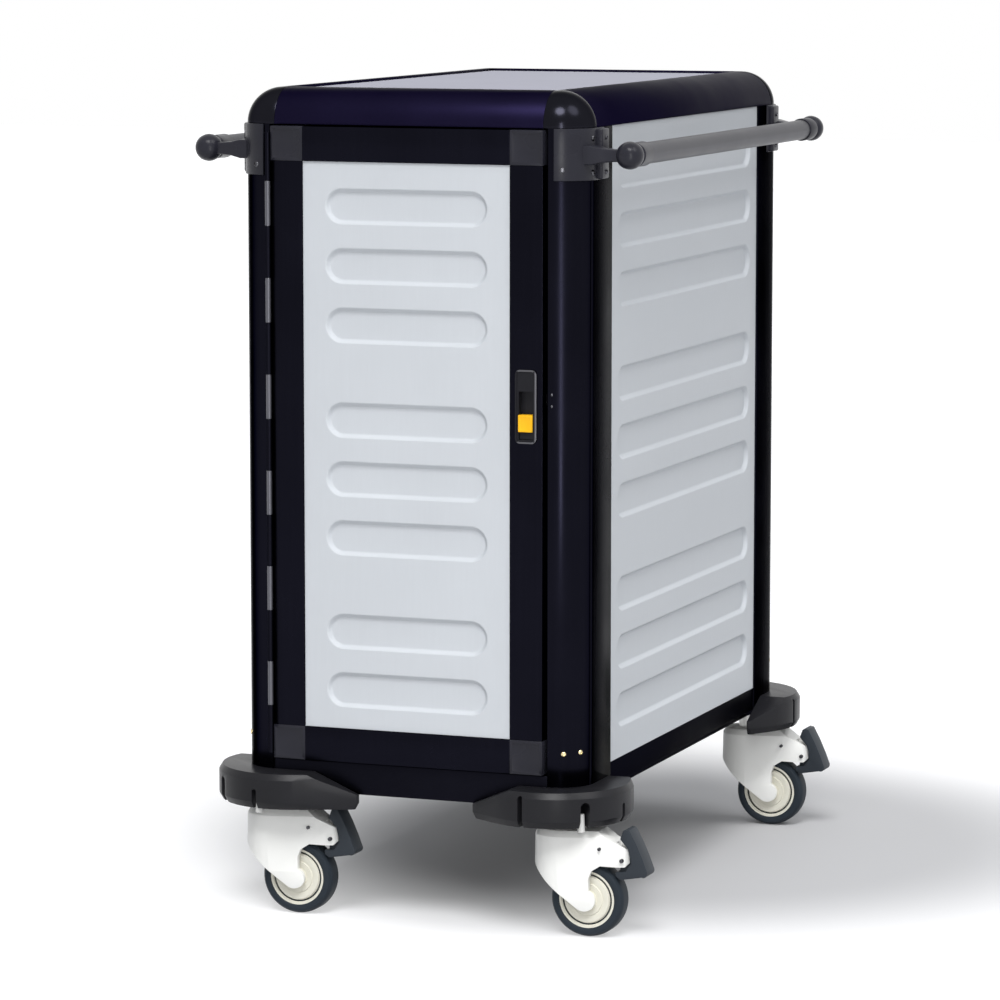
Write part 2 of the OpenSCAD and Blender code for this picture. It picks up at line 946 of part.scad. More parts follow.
// A mounting plate from above, inwards from the corner and inside its round
module mount_outline() {
    far = [2 * side_inset - mount_edge, 2 * end_inset - mount_edge];
    polygon(concat(arc(corner_r, corner_r, corner_r - mount_edge, 270, 180),
        [[mount_edge, far[1]], far, [far[0], mount_edge]]));
}

// Mounting plates with their collars, swivel stems and locating studs
module caster_mounts() {
    color("gainsboro")
        for (side = [-1, 1], end = [-1, 1]) {
            at_corner(side, end) {
                translate([0, 0, chassis_z - mount_t])
                    linear_extrude(mount_t)
                        mount_outline();
                translate(side * end > 0 ? [stud_far, stud_near, housing_top + 2 * seat_gap]
                    : [stud_near, stud_far, housing_top + 2 * seat_gap])
                    cylinder(r = stud_r, h = chassis_z - mount_t - housing_top - seat_gap);
            }
            at_caster(side, end) {
                translate([0, 0, housing_top + seat_gap])
                    cylinder(r = collar_r, h = chassis_z - mount_t - housing_top);
                translate([0, 0, stem_tip])
                    cylinder(r = stem_r, h = housing_top - stem_tip + cut);
            }
        }
}

module housing_plan(inset) {
    hull() {
        circle(r = head_r - inset, $fn = 32);
        translate([nose_tip - nose_r, 0])
            circle(r = nose_r - inset, $fn = 20);
    }
}

// The housing from the side: a round head, a cheek down to the axle and a nose
module housing_profile() {
    polygon(concat([[-head_r + 7, housing_top], [-head_r + 1, housing_top - 9],
        [-head_r - 1, housing_top - 28], [-head_r + 3, housing_top - 46],
        [caster_trail - 50, axle_z + 25]],
        arc(caster_trail, axle_z, hub_r, 238, 425),
        [[caster_trail + 6, axle_z + 30], [caster_trail + 10, axle_z + 40],
        [caster_trail + 21, axle_z + 47], [nose_tip - 22, axle_z + 46],
        [nose_tip - 8, housing_top - 46], [nose_tip, housing_top - 38],
        [nose_tip - 5, housing_top - 22], [nose_tip - 30, housing_top - 10],
        [nose_tip - 43, housing_top]]));
}

module caster_housing(side, end) {
    color("ivory")
        at_caster(side, end) {
            difference() {
                intersection() {
                    along_y(3 * head_r)
                        housing_profile();
                    hull() {
                        translate([0, 0, housing_top - cut])
                            linear_extrude(cut)
                                housing_plan(6);
                        translate([0, 0, housing_top - 9])
                            linear_extrude(cut)
                                housing_plan(1);
                        translate([0, 0, axle_z + 10])
                            linear_extrude(20)
                                housing_plan(0);
                        translate([0, 0, axle_z - hub_r])
                            linear_extrude(cut)
                                housing_plan(3);
                    }
                }
                translate([caster_trail, 0, axle_z])
                    rotate([90, 0, 0])
                        cylinder(r = well_r, h = well_w, center = true);
                translate([0, 0, stem_tip - seat_gap])
                    cylinder(r = stem_r + run_fit, h = housing_top - stem_tip + cut);
                block([pivot[0] - 10, -lug_w / 2 - slide_gap, axle_z],
                    [nose_tip + cut, lug_w / 2 + slide_gap, housing_top + cut]);
            }
            translate([caster_trail, 0, axle_z])
                rotate([90, 0, 0])
                    cylinder(r = axle_r, h = well_w + 12, center = true);
            translate([pivot[0], 0, pivot[1]])
                rotate([90, 0, 0])
                    cylinder(r = pivot_r, h = lug_w + 10, center = true);
        }
}

// Half of a turned section, given as [radius, half width], closed by its mirror image
module turned(points) {
    n = len(points);
    rotate([90, 0, 0])
        rotate_extrude()
            polygon(concat(points, [for (i = [n - 1:-1:0]) [points[i][0], -points[i][1]]]));
}

module caster_wheel(side, end) {
    hub_half = well_w / 2 - seat_gap;
    half = tyre_w / 2;
    color("ivory")
        at_caster(side, end)
            translate([caster_trail, 0, axle_z])
                turned([[axle_r + run_fit, hub_half], [11, hub_half], [12, half - 3],
                    [21, half - 2], [22, half - 4], [30, half - 1.5], [32, half - 4],
                    [34, half - 4], [35, half - 1.5], [rim_r, half - 1.5]]);
}

module tyre(side, end) {
    half = tyre_w / 2;
    color("darkslategray")
        at_caster(side, end)
            translate([caster_trail, 0, axle_z])
                turned([[rim_r, half - 1.5], [rim_r + 3, half], [wheel_r - 4, half - 0.7],
                    [wheel_r - 1.2, half - 4], [wheel_r, half - 9]]);
}

// The pedal from the side: a pad over the nose, a toe, and a shoe under the nose
module pedal_profile() {
    polygon(concat([[nose_tip - 10, housing_top + 2], [nose_tip - 7, housing_top + 4],
        [nose_tip - 1, housing_top + 3], [nose_tip + 9, housing_top - 16],
        [nose_tip + 17, housing_top - 34]],
        arc(nose_tip + 17.5, housing_top - 52, 6, 30, -110),
        [[pivot[0] - 9, pivot[1] - 27], [pivot[0] - 9, pivot[1] - 16],
        [nose_tip - 7, pivot[1] - 15], [nose_tip + 1.5, housing_top - 40],
        [nose_tip - 3.3, housing_top - 21], [nose_tip - 14, housing_top - 9]]));
}

// Brake pedal, cut clear of the tyre where its shoe comes to at the brake angle
module brake_pedal(side, end) {
    color("darkslategray")
        at_caster(side, end)
            difference() {
                union() {
                    along_y(pedal_w)
                        pedal_profile();
                    along_y(lug_w)
                        polygon([[pivot[0] - 5, pivot[1] + 4], [pivot[0] - 5, pivot[1] - 18],
                            [nose_tip + 6, pivot[1] - 18], [nose_tip + 6, pivot[1] + 6],
                            [pivot[0], pivot[1] + 7]]);
                }
                translate([pivot[0], 0, pivot[1]]) {
                    rotate([90, 0, 0])
                        cylinder(r = pivot_r + run_fit, h = pedal_w, center = true);
                    rotate([0, -brake_angle, 0])
                        translate([caster_trail - pivot[0], 0, axle_z - pivot[1]])
                            rotate([90, 0, 0])
                                cylinder(r = wheel_r + shoe_gap, h = 2 * pedal_w, center = true);
                }
            }
}

post(-1, -1);  // post_front_left
post(1, -1);  // post_front_right
post(-1, 1);  // post_rear_left
post(1, 1);  // post_rear_right
roof_rail_front();
roof_rail_rear();
roof_rail_left();
roof_rail_right();
roof_corners();
top_panel();
base_frame();
floor_panel();
side_panel_left();
side_panel_right();
rear_panel();
inner_liner();
wall_insulation();
tray_rack_left();
tray_rack_right();
bumper(-1, -1);  // bumper_front_left
bumper(1, -1);  // bumper_front_right
bumper(-1, 1);  // bumper_rear_left
bumper(1, 1);  // bumper_rear_right
handle_tubes();
handle_bracket(-1, -1);  // handle_bracket_front_left
handle_bracket(1, -1);  // handle_bracket_front_right
handle_bracket(-1, 1);  // handle_bracket_rear_left
handle_bracket(1, 1);  // handle_bracket_rear_right
hinge_frame_leaf();
hinge_pin();
latch_keeper();
caster_mounts();
door_stile_hinge();
door_stile_latch();
door_rails();
door_corners();
door_panel();
door_inner_panel();
door_insulation();
door_gasket();
hinge_door_leaf();
latch_housing();
latch_slider();
latch_bolt();
caster_housing(-1, -1);  // housing_front_left
caster_wheel(-1, -1);  // wheel_front_left
tyre(-1, -1);  // tyre_front_left
brake_pedal(-1, -1);  // pedal_front_left
caster_housing(1, -1);  // housing_front_right
caster_wheel(1, -1);  // wheel_front_right
tyre(1, -1);  // tyre_front_right
brake_pedal(1, -1);  // pedal_front_right
caster_housing(-1, 1);  // housing_rear_left
caster_wheel(-1, 1);  // wheel_rear_left
tyre(-1, 1);  // tyre_rear_left
brake_pedal(-1, 1);  // pedal_rear_left
caster_housing(1, 1);  // housing_rear_right
caster_wheel(1, 1);  // wheel_rear_right
tyre(1, 1);  // tyre_rear_right
brake_pedal(1, 1);  // pedal_rear_right
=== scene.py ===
import json
import math

import bpy
from mathutils import Matrix, Vector


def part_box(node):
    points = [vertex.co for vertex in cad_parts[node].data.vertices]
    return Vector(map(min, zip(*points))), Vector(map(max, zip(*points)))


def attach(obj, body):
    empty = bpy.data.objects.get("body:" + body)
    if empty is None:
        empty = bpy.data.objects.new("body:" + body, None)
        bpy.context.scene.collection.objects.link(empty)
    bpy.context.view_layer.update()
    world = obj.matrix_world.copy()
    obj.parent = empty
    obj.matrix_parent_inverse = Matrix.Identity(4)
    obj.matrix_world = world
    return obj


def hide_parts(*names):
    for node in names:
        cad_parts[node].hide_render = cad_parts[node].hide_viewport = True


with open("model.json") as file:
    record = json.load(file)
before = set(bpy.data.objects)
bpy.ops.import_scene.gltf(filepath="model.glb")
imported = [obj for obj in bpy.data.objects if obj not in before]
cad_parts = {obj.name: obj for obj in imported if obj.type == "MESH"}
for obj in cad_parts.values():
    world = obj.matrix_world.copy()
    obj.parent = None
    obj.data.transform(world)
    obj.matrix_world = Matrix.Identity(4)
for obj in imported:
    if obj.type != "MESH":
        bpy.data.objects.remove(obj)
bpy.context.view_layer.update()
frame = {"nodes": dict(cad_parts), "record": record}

MM = 0.001
RIGHT, BACK, UP = Vector((1, 0, 0)), Vector((0, 1, 0)), Vector((0, 0, 1))
# Each corner, with the scale along X and Y that mirrors a front right piece to it
CORNERS = {"front_left": (-1, 1), "front_right": (1, 1), "rear_left": (-1, -1),
           "rear_right": (1, -1)}

# Radius of the posts and roof rails, and the number of flats that draw it
POST_R = 47 * MM
ROUND_STEPS = 16
# Small roundings: seams of the roof, edges of sheets and posts, edges of the door's bars
SEAM = 0.6 * MM
SHEET_EDGE = 0.8 * MM
BAR_EDGE = 0.9 * MM
# Angle between two faces, in degrees, over which their edge counts as sharp
SHARP = 35
# Share of a direction that a face or an edge must have to count as lying along it
ALONG = 0.9


# ---------------------------------------------------------------- modelling tools

def choose(piece):
    """Makes one piece the only one selected, and the active one."""
    bpy.ops.object.select_all(action="DESELECT")
    piece.select_set(True)
    bpy.context.view_layer.objects.active = piece


def pick(piece, test, kind="FACE"):
    """Selects, in edit mode, the faces, edges or points of a piece that pass a test.

    A face is tested on its centre and normal, an edge on its middle and direction, and a point on
    its place.
    """
    choose(piece)
    bpy.ops.object.mode_set(mode="EDIT")
    bpy.ops.mesh.select_mode(type=kind)
    bpy.ops.mesh.select_all(action="DESELECT")
    bpy.ops.object.mode_set(mode="OBJECT")
    mesh = piece.data
    if kind == "FACE":
        for face in mesh.polygons:
            face.select = test(face.center, face.normal)
    elif kind == "EDGE":
        for edge in mesh.edges:
            a, b = (mesh.vertices[i].co for i in edge.vertices)
            edge.select = test((a + b) / 2, (b - a).normalized())
    else:
        for point in mesh.vertices:
            point.select = test(point.co)
    bpy.ops.object.mode_set(mode="EDIT")


def leave():
    bpy.ops.object.mode_set(mode="OBJECT")


def facing(way, over=None, reach=MM, share=ALONG):
    """A test for faces that look one way and, where a place is given, have their centre over it."""

    def passes(centre, normal):
        if normal.dot(way) <= share:
            return False
        if over is None:
            return True
        away = centre - over
        return (away - way * away.dot(way)).length < reach

    return passes


def block(name, low, high):
    """A box from its lowest to its highest corner, the start of most pieces."""
    low, high = Vector(low), Vector(high)
    bpy.ops.object.select_all(action="DESELECT")
    bpy.ops.mesh.primitive_cube_add(size=1, location=(low + high) / 2)
    piece = bpy.context.object
    piece.name = piece.data.name = name
    piece.scale = high - low
    bpy.ops.object.transform_apply(location=True, rotation=True, scale=True)
    return piece


def round_edges(piece, test, radius, segments=ROUND_STEPS):
    """Rounds the edges that pass the test to a radius."""
    pick(piece, test, "EDGE")
    bpy.ops.mesh.bevel(offset=radius, segments=segments, affect="EDGES", clamp_overlap=False)
    bpy.ops.mesh.select_all(action="SELECT")
    bpy.ops.mesh.remove_doubles(threshold=1e-6)
    leave()


def cut_at(piece, place, normal, drop=False):
    """Cuts a piece on a plane; drop takes away what lies on the far side of the normal."""
    pick(piece, lambda c, n: True)
    bpy.ops.mesh.bisect(plane_co=place, plane_no=normal, clear_outer=drop, use_fill=drop)
    leave()


def push(piece, test, move):
    """Extrudes the faces that pass the test."""
    pick(piece, test)
    bpy.ops.mesh.extrude_region_move(TRANSFORM_OT_translate={"value": move})
    leave()


def sink(piece, test, margin, depth, single=False):
    """Insets the faces that pass the test, and moves them along their normal."""
    pick(piece, test)
    bpy.ops.mesh.inset(thickness=margin, depth=depth, use_individual=single)
    leave()


def soften(piece, width, segments=2, limit=SHARP):
    """Rounds the sharp edges of a piece a little, and shades it smooth between them."""
    edge = piece.modifiers.new("edges", "BEVEL")
    edge.width = width
    edge.segments = segments
    edge.limit_method = "ANGLE"
    edge.angle_limit = math.radians(limit)
    choose(piece)
    bpy.ops.object.modifier_apply(modifier=edge.name)
    smooth(piece, limit)


def smooth(piece, limit=SHARP):
    choose(piece)
    bpy.ops.object.shade_smooth_by_angle(angle=math.radians(limit))


def carve(piece, cutter):
    """Takes the shape of a cutter out of a piece."""
    hole = piece.modifiers.new("hole", "BOOLEAN")
    hole.operation = "DIFFERENCE"
    hole.solver = "EXACT"
    hole.object = cutter
    choose(piece)
    bpy.ops.object.modifier_apply(modifier=hole.name)
    bpy.data.objects.remove(cutter, do_unlink=True)


def grown_block(low, high, gap):
    """A cutter that is larger than a box by a gap on every side."""
    grow = Vector((gap, gap, gap))
    return block("cutter", Vector(low) - grow, Vector(high) + grow)


def joined(name, *parts):
    """Several parts made into one piece."""
    bpy.ops.object.select_all(action="DESELECT")
    for part in parts:
        part.select_set(True)
    bpy.context.view_layer.objects.active = parts[0]
    bpy.ops.object.join()
    piece = bpy.context.object
    piece.name = piece.data.name = name
    return piece


def copied(piece, name, scale=(1, 1, 1), move=(0, 0, 0), turn=Matrix.Identity(4)):
    """A copy with its own mesh, mirrored, turned or moved about the origin."""
    new = piece.copy()
    new.data = piece.data.copy()
    new.name = new.data.name = name
    bpy.context.collection.objects.link(new)
    new.matrix_world = Matrix.Translation(move) @ turn @ Matrix.Diagonal((*scale, 1))
    choose(new)
    bpy.ops.object.transform_apply(location=True, rotation=True, scale=True)
    if scale[0] * scale[1] * scale[2] < 0:
        outwards(new)
    return new


def outwards(piece):
    """Turns every face of a closed piece outwards."""
    pick(piece, lambda c, n: True)
    bpy.ops.mesh.normals_make_consistent(inside=False)
    leave()


def set_axes(piece, origin, right, up):
    """Puts a piece drawn flat, x to its right and y up, on a face of the cart."""
    out = Vector(right).cross(Vector(up))
    turn = Matrix((right, up, out)).transposed().to_4x4()
    piece.matrix_world = Matrix.Translation(origin) @ turn
    choose(piece)
    bpy.ops.object.transform_apply(location=True, rotation=True, scale=True)


def turned(name, start, axis, stations, around=48):
    """A turned piece: a disc drawn out along its axis, through (distance, radius) stations."""
    axis = Vector(axis)
    lay = UP.rotation_difference(axis)
    place = Vector(start) + axis * stations[0][0]
    bpy.ops.object.select_all(action="DESELECT")
    bpy.ops.mesh.primitive_circle_add(vertices=around, radius=stations[0][1], fill_type="NGON",
                                      location=place, rotation=lay.to_euler())
    piece = bpy.context.object
    piece.name = piece.data.name = name
    bpy.ops.object.transform_apply(location=True, rotation=True, scale=True)
    choose(piece)
    bpy.ops.object.mode_set(mode="EDIT")
    bpy.ops.mesh.select_mode(type="FACE")
    bpy.ops.mesh.select_all(action="SELECT")
    for (at, radius), (to, new_radius) in zip(stations, stations[1:]):
        bpy.ops.mesh.extrude_region_move(TRANSFORM_OT_translate={"value": axis * (to - at)})
        share = new_radius / radius
        centre = Vector(start) + axis * to
        bpy.ops.transform.resize(value=(share, share, share), center_override=centre)
    leave()
    outwards(piece)
    smooth(piece)
    return piece


def span(node):
    """The lowest and the highest corner of a CAD node."""
    low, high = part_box(node)
    return Vector(low), Vector(high)


# ---------------------------------------------------------------- finishes

def new_finish(name):
    material = bpy.data.materials.new(name)
    material.use_nodes = True
    tree = material.node_tree
    shader = next(n for n in tree.nodes if n.type == "BSDF_PRINCIPLED")
    return material, tree, shader


def noise(tree, place, scale, detail, stretch=(1, 1, 1)):
    """Noise in the object's own space."""
    mapping = tree.nodes.new("ShaderNodeMapping")
    mapping.inputs["Scale"].default_value = stretch
    texture = tree.nodes.new("ShaderNodeTexNoise")
    texture.inputs["Scale"].default_value = scale
    texture.inputs["Detail"].default_value = detail
    tree.links.new(place.outputs["Object"], mapping.inputs["Vector"])
    tree.links.new(mapping.outputs["Vector"], texture.inputs["Vector"])
    return texture.outputs["Fac"]


def ranged(tree, value, low, high):
    """The middle of a noise's range, spread over a new range."""
    node = tree.nodes.new("ShaderNodeMapRange")
    node.inputs["From Min"].default_value = 0.3
    node.inputs["From Max"].default_value = 0.7
    node.inputs["To Min"].default_value = low
    node.inputs["To Max"].default_value = high
    tree.links.new(value, node.inputs["Value"])
    return node.outputs["Result"]


def finish(name, colour, rough, metal=0.0, shine=0.5, mottle=0.1, patch=7, grain=700, relief=0.02,
           stretch=(1, 1, 1), play=0.06, edge=1.0):
    """A finish with mottled colour, a grain in the surface and uneven gloss.

    patch and grain are the scales of the broad and the fine noise, relief is the grain's height in
    mm, play is how far the roughness strays, and edge darkens what is reflected at a grazing angle.
    """
    material, tree, shader = new_finish(name)
    place = tree.nodes.new("ShaderNodeTexCoord")
    shader.inputs["Metallic"].default_value = metal
    shader.inputs["Specular IOR Level"].default_value = shine
    shader.inputs["Specular Tint"].default_value = (edge, edge, edge, 1)
    broad = noise(tree, place, patch, 4.0)
    fine = noise(tree, place, grain, 2.0, stretch)
    tint = tree.nodes.new("ShaderNodeMix")
    tint.data_type = "RGBA"
    dark = [c * (1 - mottle) for c in colour]
    light = [min(1, c * (1 + mottle)) for c in colour]
    tint.inputs["A"].default_value = (*dark, 1)
    tint.inputs["B"].default_value = (*light, 1)
    both = tree.nodes.new("ShaderNodeMath")
    both.operation = "MULTIPLY_ADD"
    both.inputs[1].default_value = 0.5
    tree.links.new(fine, both.inputs[0])
    tree.links.new(ranged(tree, broad, 0.0, 0.5), both.inputs[2])
    tree.links.new(both.outputs[0], tint.inputs["Factor"])
    tree.links.new(tint.outputs["Result"], shader.inputs["Base Color"])
    tree.links.new(ranged(tree, broad, rough - play, rough + play), shader.inputs["Roughness"])
    bump = tree.nodes.new("ShaderNodeBump")
    bump.inputs["Strength"].default_value = 0.6
    bump.inputs["Distance"].default_value = relief * MM
    tree.links.new(fine, bump.inputs["Height"])
    tree.links.new(bump.outputs["Normal"], shader.inputs["Normal"])
    return material


# The black metals have a very dark base and darkened edges, because glossy rays see a white world
FINISHES = {
    "frame": finish("satin_black_extrusion", (0.0066, 0.0066, 0.0110), 0.25, metal=1.0,
                    mottle=0.2, grain=260, stretch=(1, 1, 0.02), relief=0.03, edge=0.4),
    "roof_rail": finish("satin_black_roof_rail", (0.0082, 0.0066, 0.0215), 0.42, metal=1.0,
                        mottle=0.2, grain=300, edge=0.46),
    "corner_plastic": finish("grained_black_moulding", (0.0190, 0.0190, 0.0265), 0.30, shine=0.17,
                             mottle=0.3, grain=1500, relief=0.08),
    "panel": finish("embossed_pale_sheet", (0.58, 0.605, 0.635), 0.4, shine=0.06, mottle=0.03,
                    grain=380, stretch=(1, 1, 0.06), relief=0.015),
    "chassis": finish("black_sill", (0.0062, 0.0062, 0.0098), 0.4, metal=1.0, mottle=0.25,
                      grain=300, edge=0.45),
    "liner": finish("brushed_cabin_sheet", (0.46, 0.47, 0.49), 0.48, metal=0.55, shine=0.2,
                    mottle=0.05, patch=3, grain=520, stretch=(0.03, 0.03, 1), relief=0.03,
                    play=0.02),
    "foam": finish("rigid_foam", (0.78, 0.72, 0.53), 0.9, shine=0.1, mottle=0.12, grain=500,
                   relief=0.3),
    "bumper": finish("grained_bumper", (0.0145, 0.0145, 0.0170), 0.34, shine=0.15, mottle=0.35,
                     grain=1100, relief=0.15),
    "tube": finish("grey_handle_tube", (0.125, 0.125, 0.135), 0.36, metal=0.7, shine=0.1,
                   mottle=0.08, grain=420, stretch=(1, 0.02, 1), edge=0.6),
    "hinge_bright": finish("bright_hinge", (0.10, 0.10, 0.115), 0.36, metal=0.8, mottle=0.12,
                           grain=500),
    "hinge_black": finish("black_hinge", (0.0066, 0.0066, 0.0105), 0.4, metal=1.0, mottle=0.2,
                          grain=400, edge=0.45),
    "pin": finish("bright_pin", (0.5, 0.5, 0.52), 0.25, metal=1.0, mottle=0.06, grain=500),
    "steel": finish("brushed_steel", (0.42, 0.42, 0.44), 0.3, metal=1.0, grain=500,
                    stretch=(1, 1, 0.04)),
    "seal": finish("rubber_seal", (0.016, 0.016, 0.016), 0.75, shine=0.2, mottle=0.2, grain=800),
    "latch_black": finish("black_latch_moulding", (0.010, 0.010, 0.013), 0.36, shine=0.14,
                          mottle=0.2, grain=1200, relief=0.05),
    "yellow": finish("yellow_button", (0.95, 0.50, 0.014), 0.35, shine=0.2, mottle=0.05, grain=900),
    "housing": finish("ivory_housing", (0.92, 0.92, 0.89), 0.34, shine=0.2, mottle=0.02,
                      grain=900, relief=0.03),
    "wheel": finish("ivory_wheel", (0.76, 0.74, 0.64), 0.4, shine=0.2, mottle=0.04, grain=900,
                    relief=0.03),
    "tyre": finish("grey_tyre", (0.024, 0.031, 0.040), 0.5, shine=0.12, mottle=0.15, grain=1300,
                   relief=0.06),
    "pedal": finish("grey_pedal", (0.030, 0.036, 0.044), 0.45, shine=0.16, mottle=0.15,
                    grain=1300, relief=0.1),
    "mount": finish("zinc_mount", (0.72, 0.72, 0.70), 0.35, metal=0.7, mottle=0.08, grain=500),
}
# Finishes of pieces that differ from their slot's own
BRASS = finish("yellow_zinc_screw", (0.75, 0.62, 0.36), 0.3, metal=1.0, mottle=0.15)
DARK_STEEL = finish("dark_screw", (0.09, 0.09, 0.10), 0.28, metal=1.0, mottle=0.2, edge=0.6)
# The walls' pale sheet made darker and without shine for the roof: painted shade on the top face
ROOF_SHEET_PAINTED_SHADE = finish("roof_sheet", (0.44, 0.44, 0.50), 0.5, shine=0.0, mottle=0.03, grain=380,
                    stretch=(1, 0.06, 1), relief=0.015)
CAP = finish("gloss_black_cap", (0.0125, 0.0125, 0.0170), 0.2, metal=1.0, mottle=0.2, grain=900,
             edge=0.5, play=0.02)
# A lighter finish for the latch plate's rim faces: a painted highlight along the plate's edge
HIGHLIGHT_RIM = finish("latch_rim_painted_highlight", (0.11, 0.11, 0.12), 0.35, metal=1.0, mottle=0.2, grain=900)
PEG = finish("white_peg", (0.74, 0.74, 0.72), 0.4, shine=0.2, mottle=0.05, grain=900)

# Each CAD node has its slot's finish. A piece of this script replaces most of them.
for row in frame["record"]["subparts"]:
    node = frame["nodes"][row["node"]]
    for place in node.material_slots:
        place.material = FINISHES[row["material_slot"]]


def dress(piece, body, slot, nodes=(), skin=None):
    """Gives a finished piece its finish, its body and the nodes that it stands for."""
    piece.data.materials.clear()
    piece.data.materials.append(skin or FINISHES[slot])
    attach(piece, body)
    if nodes:
        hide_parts(*nodes)


def refined(node, name, width, segments=2, limit=SHARP):
    """A copy of a solid with its flat faces joined up and its edges rounded."""
    piece = copied(frame["nodes"][node], name)
    pick(piece, lambda c, n: True)
    bpy.ops.mesh.remove_doubles(threshold=1e-5)
    bpy.ops.mesh.dissolve_limited(angle_limit=math.radians(2))
    leave()
    soften(piece, width, segments, limit)
    return piece


# ---------------------------------------------------------------- frame

POST_LOW, POST_HIGH = span("post_front_right")
# The side of the post that the door's edge and the latch keeper face
DOOR_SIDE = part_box("latch_keeper")[0][0]
STILE_LOW, STILE_HIGH = span("door_stile_latch")
# Depth of the rebate in posts and roof that the door and the rear panel sit in
REBATE = 33.8 * MM
# The groove down the side of each post: its place behind the post's front, half width and depth
GROOVE_AT, GROOVE_HALF, GROOVE_DEPTH = 37 * MM, 0.9 * MM, 1.4 * MM
# The lip of the roof rail behind the door's top
ROOF_LIP = 12 * MM
# Side of a roof cap, and how far it reaches down before it is cut off at the rail's seam
CAP_SIDE, CAP_SPARE = 54 * MM, 13 * MM
# The line round the roof sheet, as steps inwards and up in mm
ROOF_LINE = ((5, 0), (1.2, -0.8), (1.2, 0.8))
# How far a place may be from the middle of the roof sheet and still belong to its inner faces
ROOF_MIDDLE = 0.01


def corner_post():
    """A rounded post with its long side flange, its door rebate and a groove down its side."""
    post = block("post", (DOOR_SIDE, POST_LOW.y, POST_LOW.z), POST_HIGH)
    round_edges(post, lambda c, d: abs(d.z) > ALONG and c.x > POST_HIGH.x - MM
                and c.y < POST_LOW.y + MM, POST_R)
    cut_at(post, (0, POST_LOW.y + REBATE, 0), BACK)
    push(post, lambda c, n: n.x < -ALONG and c.y > POST_LOW.y + REBATE,
         (POST_LOW.x - DOOR_SIDE, 0, 0))
    soften(post, SHEET_EDGE)
    groove = POST_LOW.y + GROOVE_AT
    for edge in (groove - GROOVE_HALF, groove + GROOVE_HALF):
        cut_at(post, (0, edge, 0), BACK)
    sink(post, lambda c, n: n.x > ALONG and abs(c.y - groove) < GROOVE_HALF,
         0.15 * MM, -GROOVE_DEPTH)
    return post


def roof_rail(name, half_length):
    """A roof rail along X at the front, with its quarter-round outside."""
    low, high = span("roof_rail_front")
    rail = block(name, (-half_length, low.y, high.z - POST_R), (half_length, high.y, high.z))
    round_edges(rail, lambda c, d: abs(d.x) > ALONG and c.y < low.y + MM and c.z > high.z - MM,
                POST_R)
    return rail


def roof_cap():
    """A rounded cap over the front right post, between two roof rails."""
    low, high = span("roof_corners")
    seam = span("roof_rail_front")[1].z - POST_R
    cap = block("cap", (high.x - CAP_SIDE, low.y, seam - CAP_SPARE),
                (high.x, low.y + CAP_SIDE, high.z))
    round_edges(cap, lambda c, d: (c.x > high.x - MM and c.y < low.y + MM)
                or (c.z > high.z - MM and (c.x > high.x - MM or c.y < low.y + MM)), POST_R)
    cut_at(cap, (0, 0, seam), -UP, drop=True)
    soften(cap, SEAM)
    return cap


def build_posts():
    post = corner_post()
    for corner, (side, end) in CORNERS.items():
        copy = copied(post, "post_skin_" + corner, (side, end, 1))
        if corner == "front_right":
            carve(copy, grown_block(*span("latch_keeper"), 0.3 * MM))
        dress(copy, "cabinet", "frame", ["post_" + corner])
    bpy.data.objects.remove(post, do_unlink=True)


def build_roof():
    low, high = span("roof_rail_front")
    front = roof_rail("roof_skin_front", high.x)
    cut_at(front, (0, low.y + REBATE, 0), BACK)
    push(front, lambda c, n: n.z < -ALONG and c.y > low.y + REBATE, (0, 0, -ROOF_LIP))
    soften(front, SEAM)
    rear = copied(front, "roof_skin_rear", (1, -1, 1))
    dress(front, "cabinet", "roof_rail", ["roof_rail_front"])
    dress(rear, "cabinet", "roof_rail", ["roof_rail_rear"])

    side_high = span("roof_rail_right")[1]
    along_x = roof_rail("rail", side_high.y)
    soften(along_x, SEAM)
    right = copied(along_x, "roof_skin_right", turn=Matrix.Rotation(math.radians(90), 4, "Z"),
                   move=(side_high.x + low.y, 0, 0))
    bpy.data.objects.remove(along_x, do_unlink=True)
    left = copied(right, "roof_skin_left", (-1, 1, 1))
    dress(right, "cabinet", "roof_rail", ["roof_rail_right"])
    dress(left, "cabinet", "roof_rail", ["roof_rail_left"])

    cap = roof_cap()
    caps = joined("roof_caps", *[copied(cap, "cap", (side, end, 1))
                                 for side, end in CORNERS.values()])
    bpy.data.objects.remove(cap, do_unlink=True)
    dress(caps, "cabinet", "corner_plastic", ["roof_corners"], CAP)

    sheet = block("roof_sheet", *span("top_panel"))
    border, *line = ROOF_LINE
    sink(sheet, facing(UP), border[0] * MM, border[1] * MM)
    for margin, depth in line:
        sink(sheet, lambda c, n: n.z > ALONG and abs(c.x) < ROOF_MIDDLE, margin * MM, depth * MM)
    # The roof sheet takes the darker copy of the pale sheet, a painted shade on the top
    dress(sheet, "cabinet", "panel", ["top_panel"], ROOF_SHEET_PAINTED_SHADE)


def build_sills():
    sills = refined("base_frame", "sills", SHEET_EDGE)
    dress(sills, "cabinet", "chassis", ["base_frame"])


# ---------------------------------------------------------------- embossed panels

WALL_LOW, WALL_HIGH = span("side_panel_right")
# The ribs come in groups of three. A wall is as high as 10.8 steps from rib to rib.
GROUP = 3
RIB_STEP = (WALL_HIGH.z - WALL_LOW.z) / 10.8
GROUP_STEP = 1.6 * RIB_STEP
RIB_H = 0.63 * RIB_STEP
RIB_AROUND = 40
# From the top edge to the first rib, on a wall and on the door, whose sheet sits 7.5 mm in a groove
WALL_FIRST = 0.47 * RIB_STEP
DOOR_FIRST = 0.43 * RIB_STEP + 7.5 * MM
# What the ribs leave bare at both ends together, and the length of the door's ribs
SIDE_BARE, REAR_BARE = 56 * MM, 54 * MM
DOOR_RIB = 228 * MM
SHEET_T = 2 * MM
# The rounded edge of a rib, as steps inwards and down in mm
RIB_EDGE = ((0.6, 0), (1.0, -0.4), (1.2, -1.35), (1.4, -2.0), (1.2, -1.35), (1.0, -0.4), (0.8, 0))


